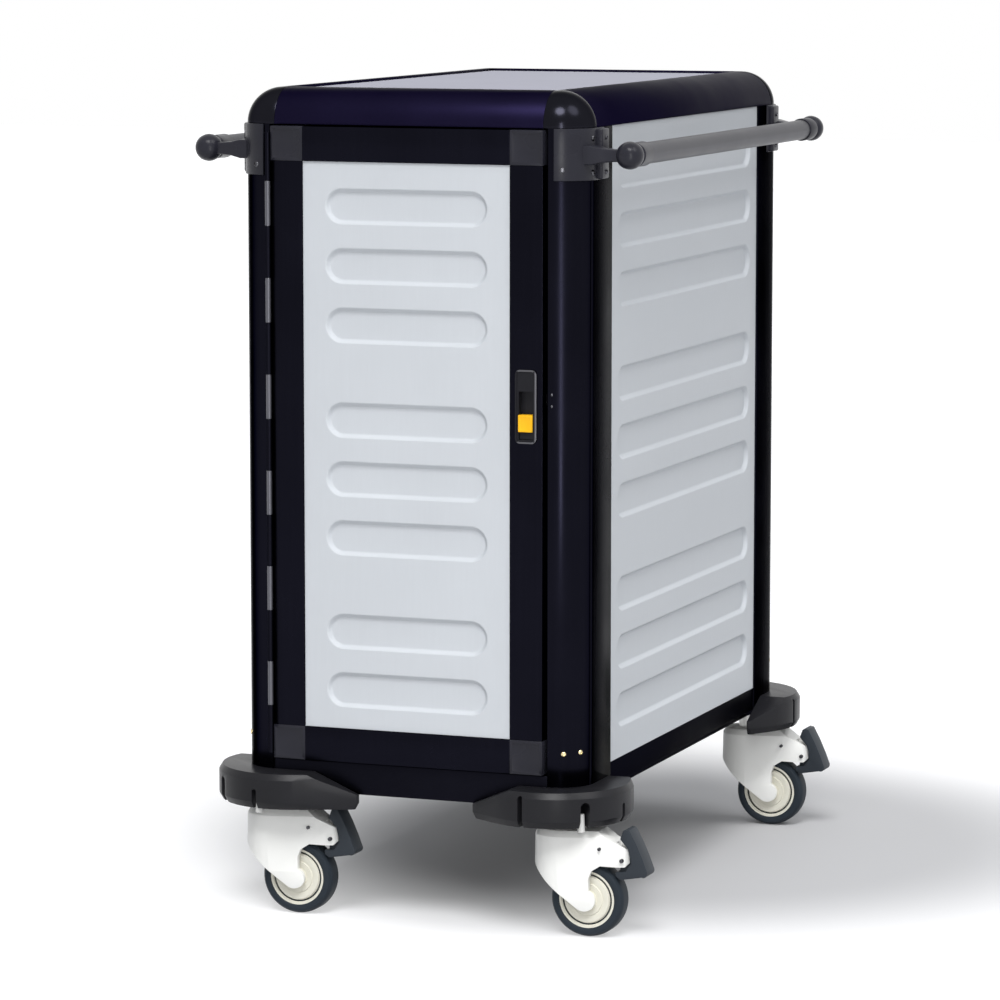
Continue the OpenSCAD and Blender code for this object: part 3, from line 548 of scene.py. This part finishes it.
def embossed(name, width, height, rib_length, first, count):
    """A sheet drawn flat, with its bottom edge at y = 0 and groups of ribs down from its top."""
    bpy.ops.object.select_all(action="DESELECT")
    bpy.ops.mesh.primitive_plane_add(size=1, location=(0, height / 2, 0))
    sheet = bpy.context.object
    sheet.name = sheet.data.name = name
    sheet.scale = (width, height, 1)
    bpy.ops.object.transform_apply(location=True, rotation=True, scale=True)
    pick(sheet, lambda c, n: True)
    bpy.ops.mesh.delete(type="ONLY_FACE")
    rows = []
    for i in range(count):
        group, place = divmod(i, GROUP)
        down = place * RIB_STEP + group * ((GROUP - 1) * RIB_STEP + GROUP_STEP)
        rows.append(height - first - down - RIB_H / 2)
        bpy.ops.mesh.primitive_circle_add(
            vertices=RIB_AROUND, radius=RIB_H / 2, location=(0, rows[-1], 0),
            rotation=(0, 0, math.pi / RIB_AROUND))
    leave()
    rib = RIB_H / 2 + MM
    reach = rib_length / 2 + MM

    # Each round is drawn apart into a long hole
    for side in (-1, 1):
        pick(sheet, lambda p: p.x * side > 0 and abs(p.x) < rib
             and any(abs(p.y - row) < rib for row in rows), "VERT")
        bpy.ops.transform.translate(value=(side * (rib_length - RIB_H) / 2, 0, 0))
        leave()
    pick(sheet, lambda c, d: True, "EDGE")
    bpy.ops.mesh.fill(use_beauty=True)
    leave()
    for row in rows:
        pick(sheet, lambda c, d: abs(c.y - row) < rib and abs(c.x) < reach, "EDGE")
        bpy.ops.mesh.select_mode(type="EDGE")
        bpy.ops.mesh.edge_face_add()
        leave()
    face_up(sheet)
    for margin, depth in RIB_EDGE:
        sink(sheet, lambda c, n: any((c - Vector((0, row, c.z))).length < MM for row in rows)
             and abs(n.z) > ALONG, margin * MM, depth * MM, single=True)
    thick = sheet.modifiers.new("thickness", "SOLIDIFY")
    thick.thickness = SHEET_T
    thick.offset = -1
    choose(sheet)
    bpy.ops.object.modifier_apply(modifier=thick.name)
    smooth(sheet)
    return sheet


def face_up(sheet):
    """Turns every face of a flat sheet to face up."""
    pick(sheet, lambda c, n: n.z < 0)
    bpy.ops.mesh.flip_normals()
    leave()


def build_panels():
    width, height = WALL_HIGH.y - WALL_LOW.y, WALL_HIGH.z - WALL_LOW.z
    right = embossed("wall_right", width, height, width - SIDE_BARE, WALL_FIRST, 9)
    set_axes(right, (WALL_HIGH.x, 0, WALL_LOW.z), BACK, UP)
    left = copied(right, "wall_left", (-1, 1, 1))
    dress(right, "cabinet", "panel", ["side_panel_right"])
    dress(left, "cabinet", "panel", ["side_panel_left"])

    low, high = span("rear_panel")
    width = high.x - low.x
    rear = embossed("wall_rear", width, height, width - REAR_BARE, WALL_FIRST, 9)
    set_axes(rear, (0, high.y, low.z), -RIGHT, UP)
    dress(rear, "cabinet", "panel", ["rear_panel"])

    low, high = span("door_panel")
    front = embossed("door_sheet", high.x - low.x, high.z - low.z, DOOR_RIB, DOOR_FIRST, 8)
    set_axes(front, (0, low.y, low.z), RIGHT, UP)
    dress(front, "door", "panel", ["door_panel"])


# ---------------------------------------------------------------- door

# The latch case in the stile is smaller than the plate, by this much at its sides and ends
CASE_IN, CASE_END = 3 * MM, 4.5 * MM
# Travels of the latch, and its running gaps: case in stile, bolt in stile, slider, bolt in case
SLIDE_TRAVEL, BOLT_TRAVEL = 30 * MM, 12 * MM
CASE_GAP, STILE_GAP, SLIDE_GAP = 0.2 * MM, 0.4 * MM, 0.3 * MM
# The frame line on a corner square of the door, and the sunk middle of the pan behind the door
SQUARE_BORDER, SQUARE_LINE = 3.5 * MM, (1 * MM, -0.7 * MM)
PAN_STEPS = ((14, 0), (1.2, -0.2), (1.6, -0.6), (1.2, -0.2))
# The latch plate: corner radius, flat border, and the steps to its sunk field
PLATE_R, PLATE_BORDER, PLATE_LINE = 7 * MM, 1.6 * MM, (0.7 * MM, -1.1 * MM)
PLATE_FLAT = 0.95
# How far in from the plate's edge the lighter rim reaches, a painted highlight along the plate's
# edge
HIGHLIGHT_RIM_W = 2.4 * MM
# The yellow button is the top of the slider. Its dish, as steps inwards and down in mm
BUTTON_H = 22 * MM
BUTTON_DISH = ((1.6, 0), (1.2, -0.5), (2.5, -0.7))
BUTTON_EDGE = 0.5 * MM


def build_stiles():
    latch = block("door_stile_right", STILE_LOW, STILE_HIGH)
    soften(latch, BAR_EDGE)
    hinge = copied(latch, "door_stile_left", (-1, 1, 1))
    case_low, case_high = span("latch_housing")
    carve(latch, grown_block(
        (case_low.x + CASE_IN, STILE_LOW.y - MM, case_low.z + CASE_END),
        (case_high.x - CASE_IN, case_high.y, case_high.z - CASE_END), CASE_GAP))
    bolt_low, bolt_high = span("latch_bolt")
    carve(latch, grown_block(bolt_low, bolt_high + RIGHT * BOLT_TRAVEL, STILE_GAP))
    smooth(latch)
    dress(latch, "door", "frame", ["door_stile_latch"])
    dress(hinge, "door", "frame", ["door_stile_hinge"])


def build_rails_and_squares():
    low, high = STILE_LOW, STILE_HIGH
    edge_low, edge_high = span("door_corners")
    inner = low.x
    bars = []
    for z_low, z_high in ((edge_low.z, low.z), (high.z, edge_high.z)):
        bar = block("bar", (-inner, low.y, z_low), (inner, high.y, z_high))
        soften(bar, BAR_EDGE)
        bars.append(bar)
    dress(joined("door_bars", *bars), "door", "frame", ["door_rails"])

    square = block("square", (inner, low.y, high.z), (edge_high.x, high.y, edge_high.z))
    soften(square, BAR_EDGE)
    sink(square, facing(-BACK), SQUARE_BORDER, 0)
    centre = Vector(((inner + edge_high.x) / 2, low.y, (high.z + edge_high.z) / 2))
    sink(square, facing(-BACK, centre), *SQUARE_LINE)
    middle = (edge_low.z + edge_high.z) / 2
    squares = []
    for side in (-1, 1):
        for end in (-1, 1):
            move = (0, 0, 0) if end > 0 else (0, 0, 2 * middle)
            squares.append(copied(square, "square", (side, 1, end), move))
    bpy.data.objects.remove(square, do_unlink=True)
    dress(joined("door_squares", *squares), "door", "corner_plastic", ["door_corners"])


def build_pan():
    low, high = span("door_inner_panel")
    pan = refined("door_inner_panel", "door_pan", SHEET_EDGE)
    for margin, depth in PAN_STEPS:
        sink(pan, facing(BACK, (low + high) / 2), margin * MM, depth * MM)
    dress(pan, "door", "liner", ["door_inner_panel"])


def latch_plate():
    """The latch's plate and case with the slider's slot, and a lighter finish on the plate's rim, a
    painted highlight along its edge.
    """
    low, high = span("latch_housing")
    slide_low, slide_high = span("latch_slider")
    middle, half = (low + high) / 2, (high - low) / 2
    front = STILE_LOW.y
    plate = block("latch_plate", low, (high.x, front, high.z))
    round_edges(plate, lambda c, d: abs(d.y) > ALONG, PLATE_R, 8)
    soften(plate, SHEET_EDGE)
    sink(plate, facing(-BACK, share=PLATE_FLAT), PLATE_BORDER, 0)
    sink(plate, facing(-BACK, middle, share=PLATE_FLAT), *PLATE_LINE)
    case = block("case", (low.x + CASE_IN, front - CASE_GAP, low.z + CASE_END),
                 (high.x - CASE_IN, high.y, high.z - CASE_END))
    for part in (plate, case):
        slot = block("slot", (slide_low.x - SLIDE_GAP, front - 10 * MM, slide_low.z - SLIDE_GAP),
                     slide_high + Vector((SLIDE_GAP, SLIDE_GAP, SLIDE_TRAVEL + SLIDE_GAP)))
        carve(part, slot)
    bolt_low, bolt_high = span("latch_bolt")
    carve(case, grown_block(bolt_low, bolt_high + RIGHT * BOLT_TRAVEL, SLIDE_GAP))
    plate = joined("latch_plate", plate, case)
    smooth(plate)
    dress(plate, "door", "latch_black", ["latch_housing"])
    # The rim faces near the plate's edge get the lighter finish: a painted highlight
    plate.data.materials.append(HIGHLIGHT_RIM)
    for face in plate.data.polygons:
        away = face.center - middle
        edge = max(away.x - half.x, abs(away.z) - half.z)
        if face.normal.y < -0.5 and -HIGHLIGHT_RIM_W < edge and face.center.y < front - MM:
            face.material_index = 1


def build_latch():
    latch_plate()
    low, high = span("latch_slider")
    button_low = high.z - BUTTON_H
    button = block("latch_button", (low.x, low.y, button_low), high)
    centre = Vector(((low.x + high.x) / 2, low.y, (button_low + high.z) / 2))
    for margin, depth in BUTTON_DISH:
        sink(button, facing(-BACK, centre, 0.1 * MM), margin * MM, depth * MM)
    soften(button, BUTTON_EDGE)
    dress(button, "latch_slider", "yellow", ["latch_slider"])
    foot = block("latch_foot", (low.x, STILE_LOW.y - 0.5 * MM, low.z), (high.x, high.y, button_low))
    soften(foot, BUTTON_EDGE)
    dress(foot, "latch_slider", "yellow", ["latch_slider"], FINISHES["latch_black"])


# ---------------------------------------------------------------- handles, bumpers, screws

# A pan-head screw in mm, and a bolt with a socket in bolt radii, as (distance, radius) stations
SCREW = ((0, 3.7), (0.9, 3.7), (1.7, 3.1), (2.1, 2.1), (1.2, 1.9), (1.1, 0.6))
BOLT = ((-1.5, 1), (0.1, 1), (0.4, 0.8), (0.4, 0.5), (0, 0.45), (0, 0.1))
SCREW_SEAT = 0.4 * MM
# The bracket's skin over the post: how thick, how high, and where it ends behind the post's front
SKIN_T, SKIN_H, SKIN_END = 3 * MM, 67 * MM, 75.2 * MM
# How far the skin reaches over the post's front from its side, and the rounding of its edges
SKIN_SIDE = 39 * MM
SKIN_EDGE = 1.0 * MM
# The pad on the bracket's side: how far it stands out, and how far it goes under the skin
PAD_OUT, PAD_IN = 7 * MM, 6 * MM
PAD_EDGE = (2.5 * MM, 3)
# The ball at the tube's end: its radius and its place behind the post's front
BALL_R, BALL_AT = 18 * MM, 31 * MM
# The arm's steps outwards in mm, with the share of its width and height that each keeps
ARM_STEPS = ((14, 0.66, 0.74), (16, 0.72, 0.86), (12, 0.95, 1.0))
# How much of the way to the ball's middle each step takes, and the rounding of the arm's edges
ARM_SHIFT = 0.6
ARM_EDGE = (3.0 * MM, 3, 20)
# The arm's root in mm, from the post's side along X and from the ball's middle along Y and Z
ARM_LOW, ARM_HIGH = Vector((-12, -13, -13)), Vector((4, 23, 12))
# Ball and collar of one tube end, as stations in mm
KNOB = ((-18, 2.5), (-17.4, 6.5), (-15.6, 10.4), (-12, 14.2), (-6, 17.1), (0, 18), (5, 17.4),
        (9, 15.8), (11.5, 13.4), (13, 12.2), (15.5, 12.2), (16.5, 14.0), (17.5, 15.7), (49, 16),
        (50.4, 15.2), (50.4, 14.1))
# The bracket's screws: angles round the post, heights below its top and above its bottom edge,
# and the place of those on the pad behind the post's front
FRONT_ANGLE, SIDE_ANGLE = -68, -13.5
TOP_SCREW, LOW_SCREW, FRONT_SCREW = 13 * MM, 10 * MM, 14 * MM
PAD_SCREW = 62 * MM
# Screws low on the posts, as angles round the post and heights, and beside the latch keeper
POST_SCREWS = ((-64, 0.242), (-35, 0.243))
OTHER_POST_SCREW = (-30, 0.241)
CATCH_IN, CATCH_HEIGHTS = 42 * MM, (0.711, 0.696)
# The rounding of the bumpers' edges: width, steps, and the angle over which an edge is rounded
BUMPER_EDGE = (2.6 * MM, 4, 20)
# The peg under each bumper's notch: its place in mm, and its stations of height and radius in mm
PEG_PLACES = {"front_right": (244, -439), "front_left": (-201, -461), "rear_right": (244, 439),
              "rear_left": (-201, 461)}
PEG_LOW = ((143.5, 3.5), (144.5, 4.8))
PEG_IN_BUMPER = ((2, 4.8), (17, 4.2))


def screw(name, place, normal, size=1.0):
    """A pan-head screw with a round recess, seated a little into its face."""
    stations = [(at * size * MM, radius * size * MM) for at, radius in SCREW]
    return turned(name, Vector(place) - Vector(normal) * SCREW_SEAT, normal, stations, 20)


def on_post(angle, radius, z):
    """A place and the outward direction on the round of the front right post."""
    a = math.radians(angle)
    out = Vector((math.cos(a), math.sin(a), 0))
    middle = Vector((POST_HIGH.x - POST_R, POST_LOW.y + POST_R, z))
    return middle + out * radius, out


def bracket_arm(ball):
    """The arm from the post to the ball, drawn out and tapered step by step."""
    root = Vector((POST_HIGH.x, ball.y, ball.z))
    arm = block("arm", root + ARM_LOW * MM, root + ARM_HIGH * MM)
    outer_face = facing(RIGHT, share=0.8)
    for step, wide, high in ARM_STEPS:
        pick(arm, outer_face)
        bpy.ops.mesh.extrude_region_move(TRANSFORM_OT_translate={"value": (step * MM, 0, 0)})
        bpy.ops.transform.resize(value=(1, wide, high))
        leave()
        end = max(v.co.x for v in arm.data.vertices)
        middle = sum(v.co.y for v in arm.data.vertices if v.co.x > end - MM) / 4
        pick(arm, outer_face)
        bpy.ops.transform.translate(value=(0, (ball.y - middle) * ARM_SHIFT, 0))
        leave()
    soften(arm, *ARM_EDGE)
    return arm


def handle_bracket():
    """Skin round the post, pad on the side, arm, end ball and collar of one handle end."""
    high = span("handle_bracket_front_right")[1]
    tube_low, tube_high = span("handle_tubes")
    ball = Vector((high.x - BALL_R, POST_LOW.y + BALL_AT, (tube_low.z + tube_high.z) / 2))
    outer = POST_HIGH.x + SKIN_T
    front = POST_LOW.y - SKIN_T
    bottom, top = POST_HIGH.z - SKIN_H, POST_HIGH.z
    back = POST_LOW.y + SKIN_END
    skin_r = POST_R + SKIN_T
    skin = block("skin", (DOOR_SIDE - 10 * MM, front, bottom), (outer, back, top))
    round_edges(skin, lambda c, d: abs(d.z) > ALONG and c.x > outer - MM and c.y < front + MM,
                skin_r)
    cut_at(skin, (POST_HIGH.x - SKIN_SIDE, 0, 0), -RIGHT, drop=True)
    soften(skin, SKIN_EDGE)
    pad = block("pad", (outer - PAD_IN, POST_LOW.y + POST_R, bottom + MM),
                (outer + PAD_OUT, back - 0.5 * MM, top - MM))
    soften(pad, *PAD_EDGE)
    knob = turned("knob", ball, BACK, [(d * MM, r * MM) for d, r in KNOB])
    pad_x, pad_y = outer + PAD_OUT, POST_LOW.y + PAD_SCREW
    screws = [screw("screw", *on_post(FRONT_ANGLE, skin_r, bottom + FRONT_SCREW)),
              screw("screw", *on_post(SIDE_ANGLE, skin_r, top - TOP_SCREW)),
              screw("screw", *on_post(SIDE_ANGLE, skin_r, bottom + LOW_SCREW)),
              screw("screw", (pad_x, pad_y, top - TOP_SCREW), RIGHT),
              screw("screw", (pad_x, pad_y, bottom + LOW_SCREW), RIGHT)]
    bracket = joined("bracket", skin, pad, bracket_arm(ball), knob)
    return bracket, joined("bracket_screws", *screws)


def build_corners():
    bracket, screws = handle_bracket()
    for corner, (side, end) in CORNERS.items():
        dress(copied(bracket, "bracket_" + corner, (side, end, 1)), "cabinet", "corner_plastic",
              ["handle_bracket_" + corner])
        dress(copied(screws, "bracket_screws_" + corner, (side, end, 1)), "cabinet", "steel",
              skin=DARK_STEEL)
        bumper = refined("bumper_" + corner, "bumper_skin_" + corner, *BUMPER_EDGE)
        dress(bumper, "cabinet", "bumper", ["bumper_" + corner])
    for spare in (bracket, screws):
        bpy.data.objects.remove(spare, do_unlink=True)


def build_screws():
    """The small screws beside the latch keeper and low on the posts."""
    x = POST_HIGH.x - CATCH_IN
    catch = joined("catch_screws", *[screw("screw", (x, POST_LOW.y, z), -BACK, 0.5)
                                     for z in CATCH_HEIGHTS])
    dress(catch, "cabinet", "steel", skin=DARK_STEEL)
    feet = joined("post_screws_front_right", *[screw("screw", *on_post(angle, POST_R, z), 0.9)
                                               for angle, z in POST_SCREWS])
    dress(feet, "cabinet", "steel", skin=BRASS)
    angle, z = OTHER_POST_SCREW
    for corner in ("front_left", "rear_left", "rear_right"):
        side, end = CORNERS[corner]
        foot = screw("screw", *on_post(angle, POST_R, z), 0.9)
        dress(copied(foot, "post_screw_" + corner, (side, end, 1)), "cabinet", "steel", skin=BRASS)
        bpy.data.objects.remove(foot, do_unlink=True)


def build_pegs():
    """The pale peg under the notch of each bumper, set a little into the bumper."""
    bumper_low = span("bumper_front_right")[0].z
    stations = [(z * MM, r * MM) for z, r in PEG_LOW]
    stations += [(bumper_low + z * MM, r * MM) for z, r in PEG_IN_BUMPER]
    for corner, (x, y) in PEG_PLACES.items():
        peg = turned("bumper_peg_" + corner, (x * MM, y * MM, 0), UP, stations, 24)
        dress(peg, "cabinet", "mount", skin=PEG)


# ---------------------------------------------------------------- casters

# Half sections of tyre and wheel, as (radius, half width) in mm
TYRE_PROFILE = ((36, 12), (38, 14.5), (41, 16), (46, 15.3), (48.8, 12), (49.6, 9.5), (50, 7))
WHEEL_PROFILE = ((11, 18.5), (11.5, 17.8), (13, 13.6), (21, 14.6), (22, 13.2), (29, 15),
                 (30.5, 14.6), (32, 12), (34, 12), (35.2, 14.4), (38, 14.4))
# From the swivel's axis to the wheel's
TRAIL = 38 * MM
HOUSING_EDGE, PEDAL_EDGE = (2.0 * MM, 3, 24), (1.2 * MM, 3, 30)
# Bolts in a housing's nose: distance from the swivel's axis, height, radius, and half width there
NOSE_BOLTS = ((87, 105, 2.6, 19.0), (58.7, 120, 2.2, 26.3))


def disc(name, centre, profile):
    """A wheel or a tyre, turned from one face to the other."""
    stations = [(-half * MM, radius * MM) for radius, half in profile]
    stations += [(half * MM, radius * MM) for radius, half in reversed(profile)]
    return turned(name, centre, BACK, stations, 72)


def nose_bolts(corner, swivel):
    """The bolts on both sides of a caster housing's nose."""
    bolts = []
    for way in (-1, 1):
        for x, z, r, out in NOSE_BOLTS:
            place = (swivel.x + x * MM, swivel.y + way * out * MM, z * MM)
            stations = [(at * r * MM, radius * r * MM) for at, radius in BOLT]
            bolts.append(turned("bolt", place, BACK * way, stations, 20))
    return joined("nose_bolts_" + corner, *bolts)


def build_casters():
    for corner in CORNERS:
        wheel_low, wheel_high = span("wheel_" + corner)
        hub = (wheel_low + wheel_high) / 2
        tyre = disc("tyre_skin_" + corner, hub, TYRE_PROFILE)
        dress(tyre, "roller_" + corner, "tyre", ["tyre_" + corner])
        wheel = disc("wheel_skin_" + corner, hub, WHEEL_PROFILE)
        dress(wheel, "roller_" + corner, "wheel", ["wheel_" + corner])
        housing = refined("housing_" + corner, "housing_skin_" + corner, *HOUSING_EDGE)
        dress(housing, "caster_" + corner, "housing", ["housing_" + corner])
        pedal = refined("pedal_" + corner, "pedal_skin_" + corner, *PEDAL_EDGE)
        dress(pedal, "brake_" + corner, "pedal", ["pedal_" + corner])
        dress(nose_bolts(corner, hub - RIGHT * TRAIL), "caster_" + corner, "steel",
              skin=DARK_STEEL)


# ---------------------------------------------------------------- stage, light and camera

# Strength of the light that comes from all round
FILL = 0.34
# The floor: its colour, the middle of its painted shadow, and where its camera-only glow fades from
# low near the cart to white, in metres from there, with the glow's strength near and far
FLOOR_COLOUR = (0.52, 0.52, 0.53)
PAINTED_SHADOW_MIDDLE = (0.15, 0.25)
FADE_NEAR, FADE_FAR = 0.38, 0.82
GLOW_NEAR, GLOW_FAR = 0.03, 0.62
# The camera that was fitted to the photo: place in metres, angles in degrees, focal length in px
CAMERA_PLACE = (2.2203, -5.9979, 1.3293)
CAMERA_DOWN, CAMERA_TURN = 7.257, 20.593
FOCAL_PX, PHOTO_PX = 4628.4, 1000
SENSOR_MM = 36


def world_light():
    """A white ground for the camera and for reflections, and a weaker fill for all else."""
    world = bpy.data.worlds.new("studio")
    bpy.context.scene.world = world
    world.use_nodes = True
    tree = world.node_tree
    tree.nodes.clear()
    seen = tree.nodes.new("ShaderNodeBackground")
    seen.inputs["Color"].default_value = (1, 1, 1, 1)
    fill = tree.nodes.new("ShaderNodeBackground")
    fill.inputs["Color"].default_value = (0.93, 0.96, 1, 1)
    fill.inputs["Strength"].default_value = FILL
    path = tree.nodes.new("ShaderNodeLightPath")
    mix = tree.nodes.new("ShaderNodeMixShader")
    out = tree.nodes.new("ShaderNodeOutputWorld")
    tree.links.new(seen_share(tree, path), mix.inputs[0])
    tree.links.new(fill.outputs[0], mix.inputs[1])
    tree.links.new(seen.outputs[0], mix.inputs[2])
    tree.links.new(mix.outputs[0], out.inputs["Surface"])


def seen_share(tree, path):
    """1 for rays from the camera, from a gloss or through a glass, 0 for all others."""
    first = tree.nodes.new("ShaderNodeMath")
    first.operation = "MAXIMUM"
    second = tree.nodes.new("ShaderNodeMath")
    second.operation = "MAXIMUM"
    tree.links.new(path.outputs["Is Camera Ray"], first.inputs[0])
    tree.links.new(path.outputs["Is Glossy Ray"], first.inputs[1])
    tree.links.new(first.outputs[0], second.inputs[0])
    tree.links.new(path.outputs["Is Transmission Ray"], second.inputs[1])
    return second.outputs[0]


def studio_floor():
    """A pale floor with the lamps' shadow of the cart and a painted shadow round it: its glow is
    low near the cart and goes to white further out.
    """
    bpy.ops.object.select_all(action="DESELECT")
    bpy.ops.mesh.primitive_plane_add(size=40, location=(0, 0, 0))
    floor = bpy.context.object
    floor.name = "studio_floor"
    material, tree, shader = new_finish("white_floor")
    shader.inputs["Base Color"].default_value = (*FLOOR_COLOUR, 1)
    shader.inputs["Roughness"].default_value = 0.8
    shader.inputs["Specular IOR Level"].default_value = 0.1
    place = tree.nodes.new("ShaderNodeTexCoord")
    far = tree.nodes.new("ShaderNodeVectorMath")
    far.operation = "LENGTH"
    centre = tree.nodes.new("ShaderNodeMapping")
    centre.inputs["Location"].default_value = (-PAINTED_SHADOW_MIDDLE[0], -PAINTED_SHADOW_MIDDLE[1], 0)
    tree.links.new(place.outputs["Object"], centre.inputs["Vector"])
    tree.links.new(centre.outputs["Vector"], far.inputs[0])
    # The glow is low near the cart and high far out: a painted shadow round the cart, on top of the
    # lamps' own shadow
    fade = tree.nodes.new("ShaderNodeMapRange")
    fade.interpolation_type = "SMOOTHSTEP"
    fade.inputs["From Min"].default_value = FADE_NEAR
    fade.inputs["From Max"].default_value = FADE_FAR
    fade.inputs["To Min"].default_value = GLOW_NEAR
    fade.inputs["To Max"].default_value = GLOW_FAR
    tree.links.new(far.outputs["Value"], fade.inputs["Value"])
    path = tree.nodes.new("ShaderNodeLightPath")
    share = tree.nodes.new("ShaderNodeMath")
    share.operation = "MULTIPLY"
    tree.links.new(seen_share(tree, path), share.inputs[0])
    tree.links.new(fade.outputs["Result"], share.inputs[1])
    tree.links.new(share.outputs[0], shader.inputs["Emission Strength"])
    shader.inputs["Emission Color"].default_value = (1, 1, 1, 1)
    floor.data.materials.append(material)


def sun(name, strength, spread, azimuth, height):
    """A soft, even lamp that shines from an azimuth, seen from the front, and a height."""
    lamp = bpy.data.lights.new(name, "SUN")
    lamp.energy = strength
    lamp.angle = math.radians(spread)
    holder = bpy.data.objects.new(name, lamp)
    bpy.context.collection.objects.link(holder)
    a, h = math.radians(azimuth), math.radians(height)
    towards = Vector((math.sin(a) * math.cos(h), -math.cos(a) * math.cos(h), math.sin(h)))
    holder.rotation_euler = towards.to_track_quat("Z", "Y").to_euler()


def strip(name, power, place, size, azimuth):
    """A tall, narrow lamp before the cart, which draws the streak of light on the round posts."""
    lamp = bpy.data.lights.new(name, "AREA")
    lamp.shape = "RECTANGLE"
    lamp.size, lamp.size_y = size
    lamp.energy = power
    holder = bpy.data.objects.new(name, lamp)
    bpy.context.collection.objects.link(holder)
    holder.location = place
    holder.rotation_euler = (math.radians(90), 0, math.radians(azimuth))
    holder.visible_camera = False


def camera():
    data = bpy.data.cameras.new("camera")
    data.sensor_width = SENSOR_MM
    data.lens = FOCAL_PX * SENSOR_MM / PHOTO_PX
    data.clip_end = 100
    holder = bpy.data.objects.new("camera", data)
    bpy.context.collection.objects.link(holder)
    holder.location = CAMERA_PLACE
    holder.rotation_euler = (math.radians(90 - CAMERA_DOWN), 0, math.radians(CAMERA_TURN))
    bpy.context.scene.camera = holder


build_posts()
build_roof()
build_sills()
build_panels()
build_stiles()
build_rails_and_squares()
build_pan()
build_latch()
build_corners()
build_screws()
build_pegs()
build_casters()
world_light()
studio_floor()
sun("key", strength=2.1, spread=25, azimuth=16, height=54)
strip("front", power=18.5, place=(1.137, -2.72, 0.88), size=(0.22, 1.7), azimuth=22)
sun("side", strength=0.85, spread=30, azimuth=80, height=50)
camera()
bpy.context.scene.view_settings.view_transform = "Standard"
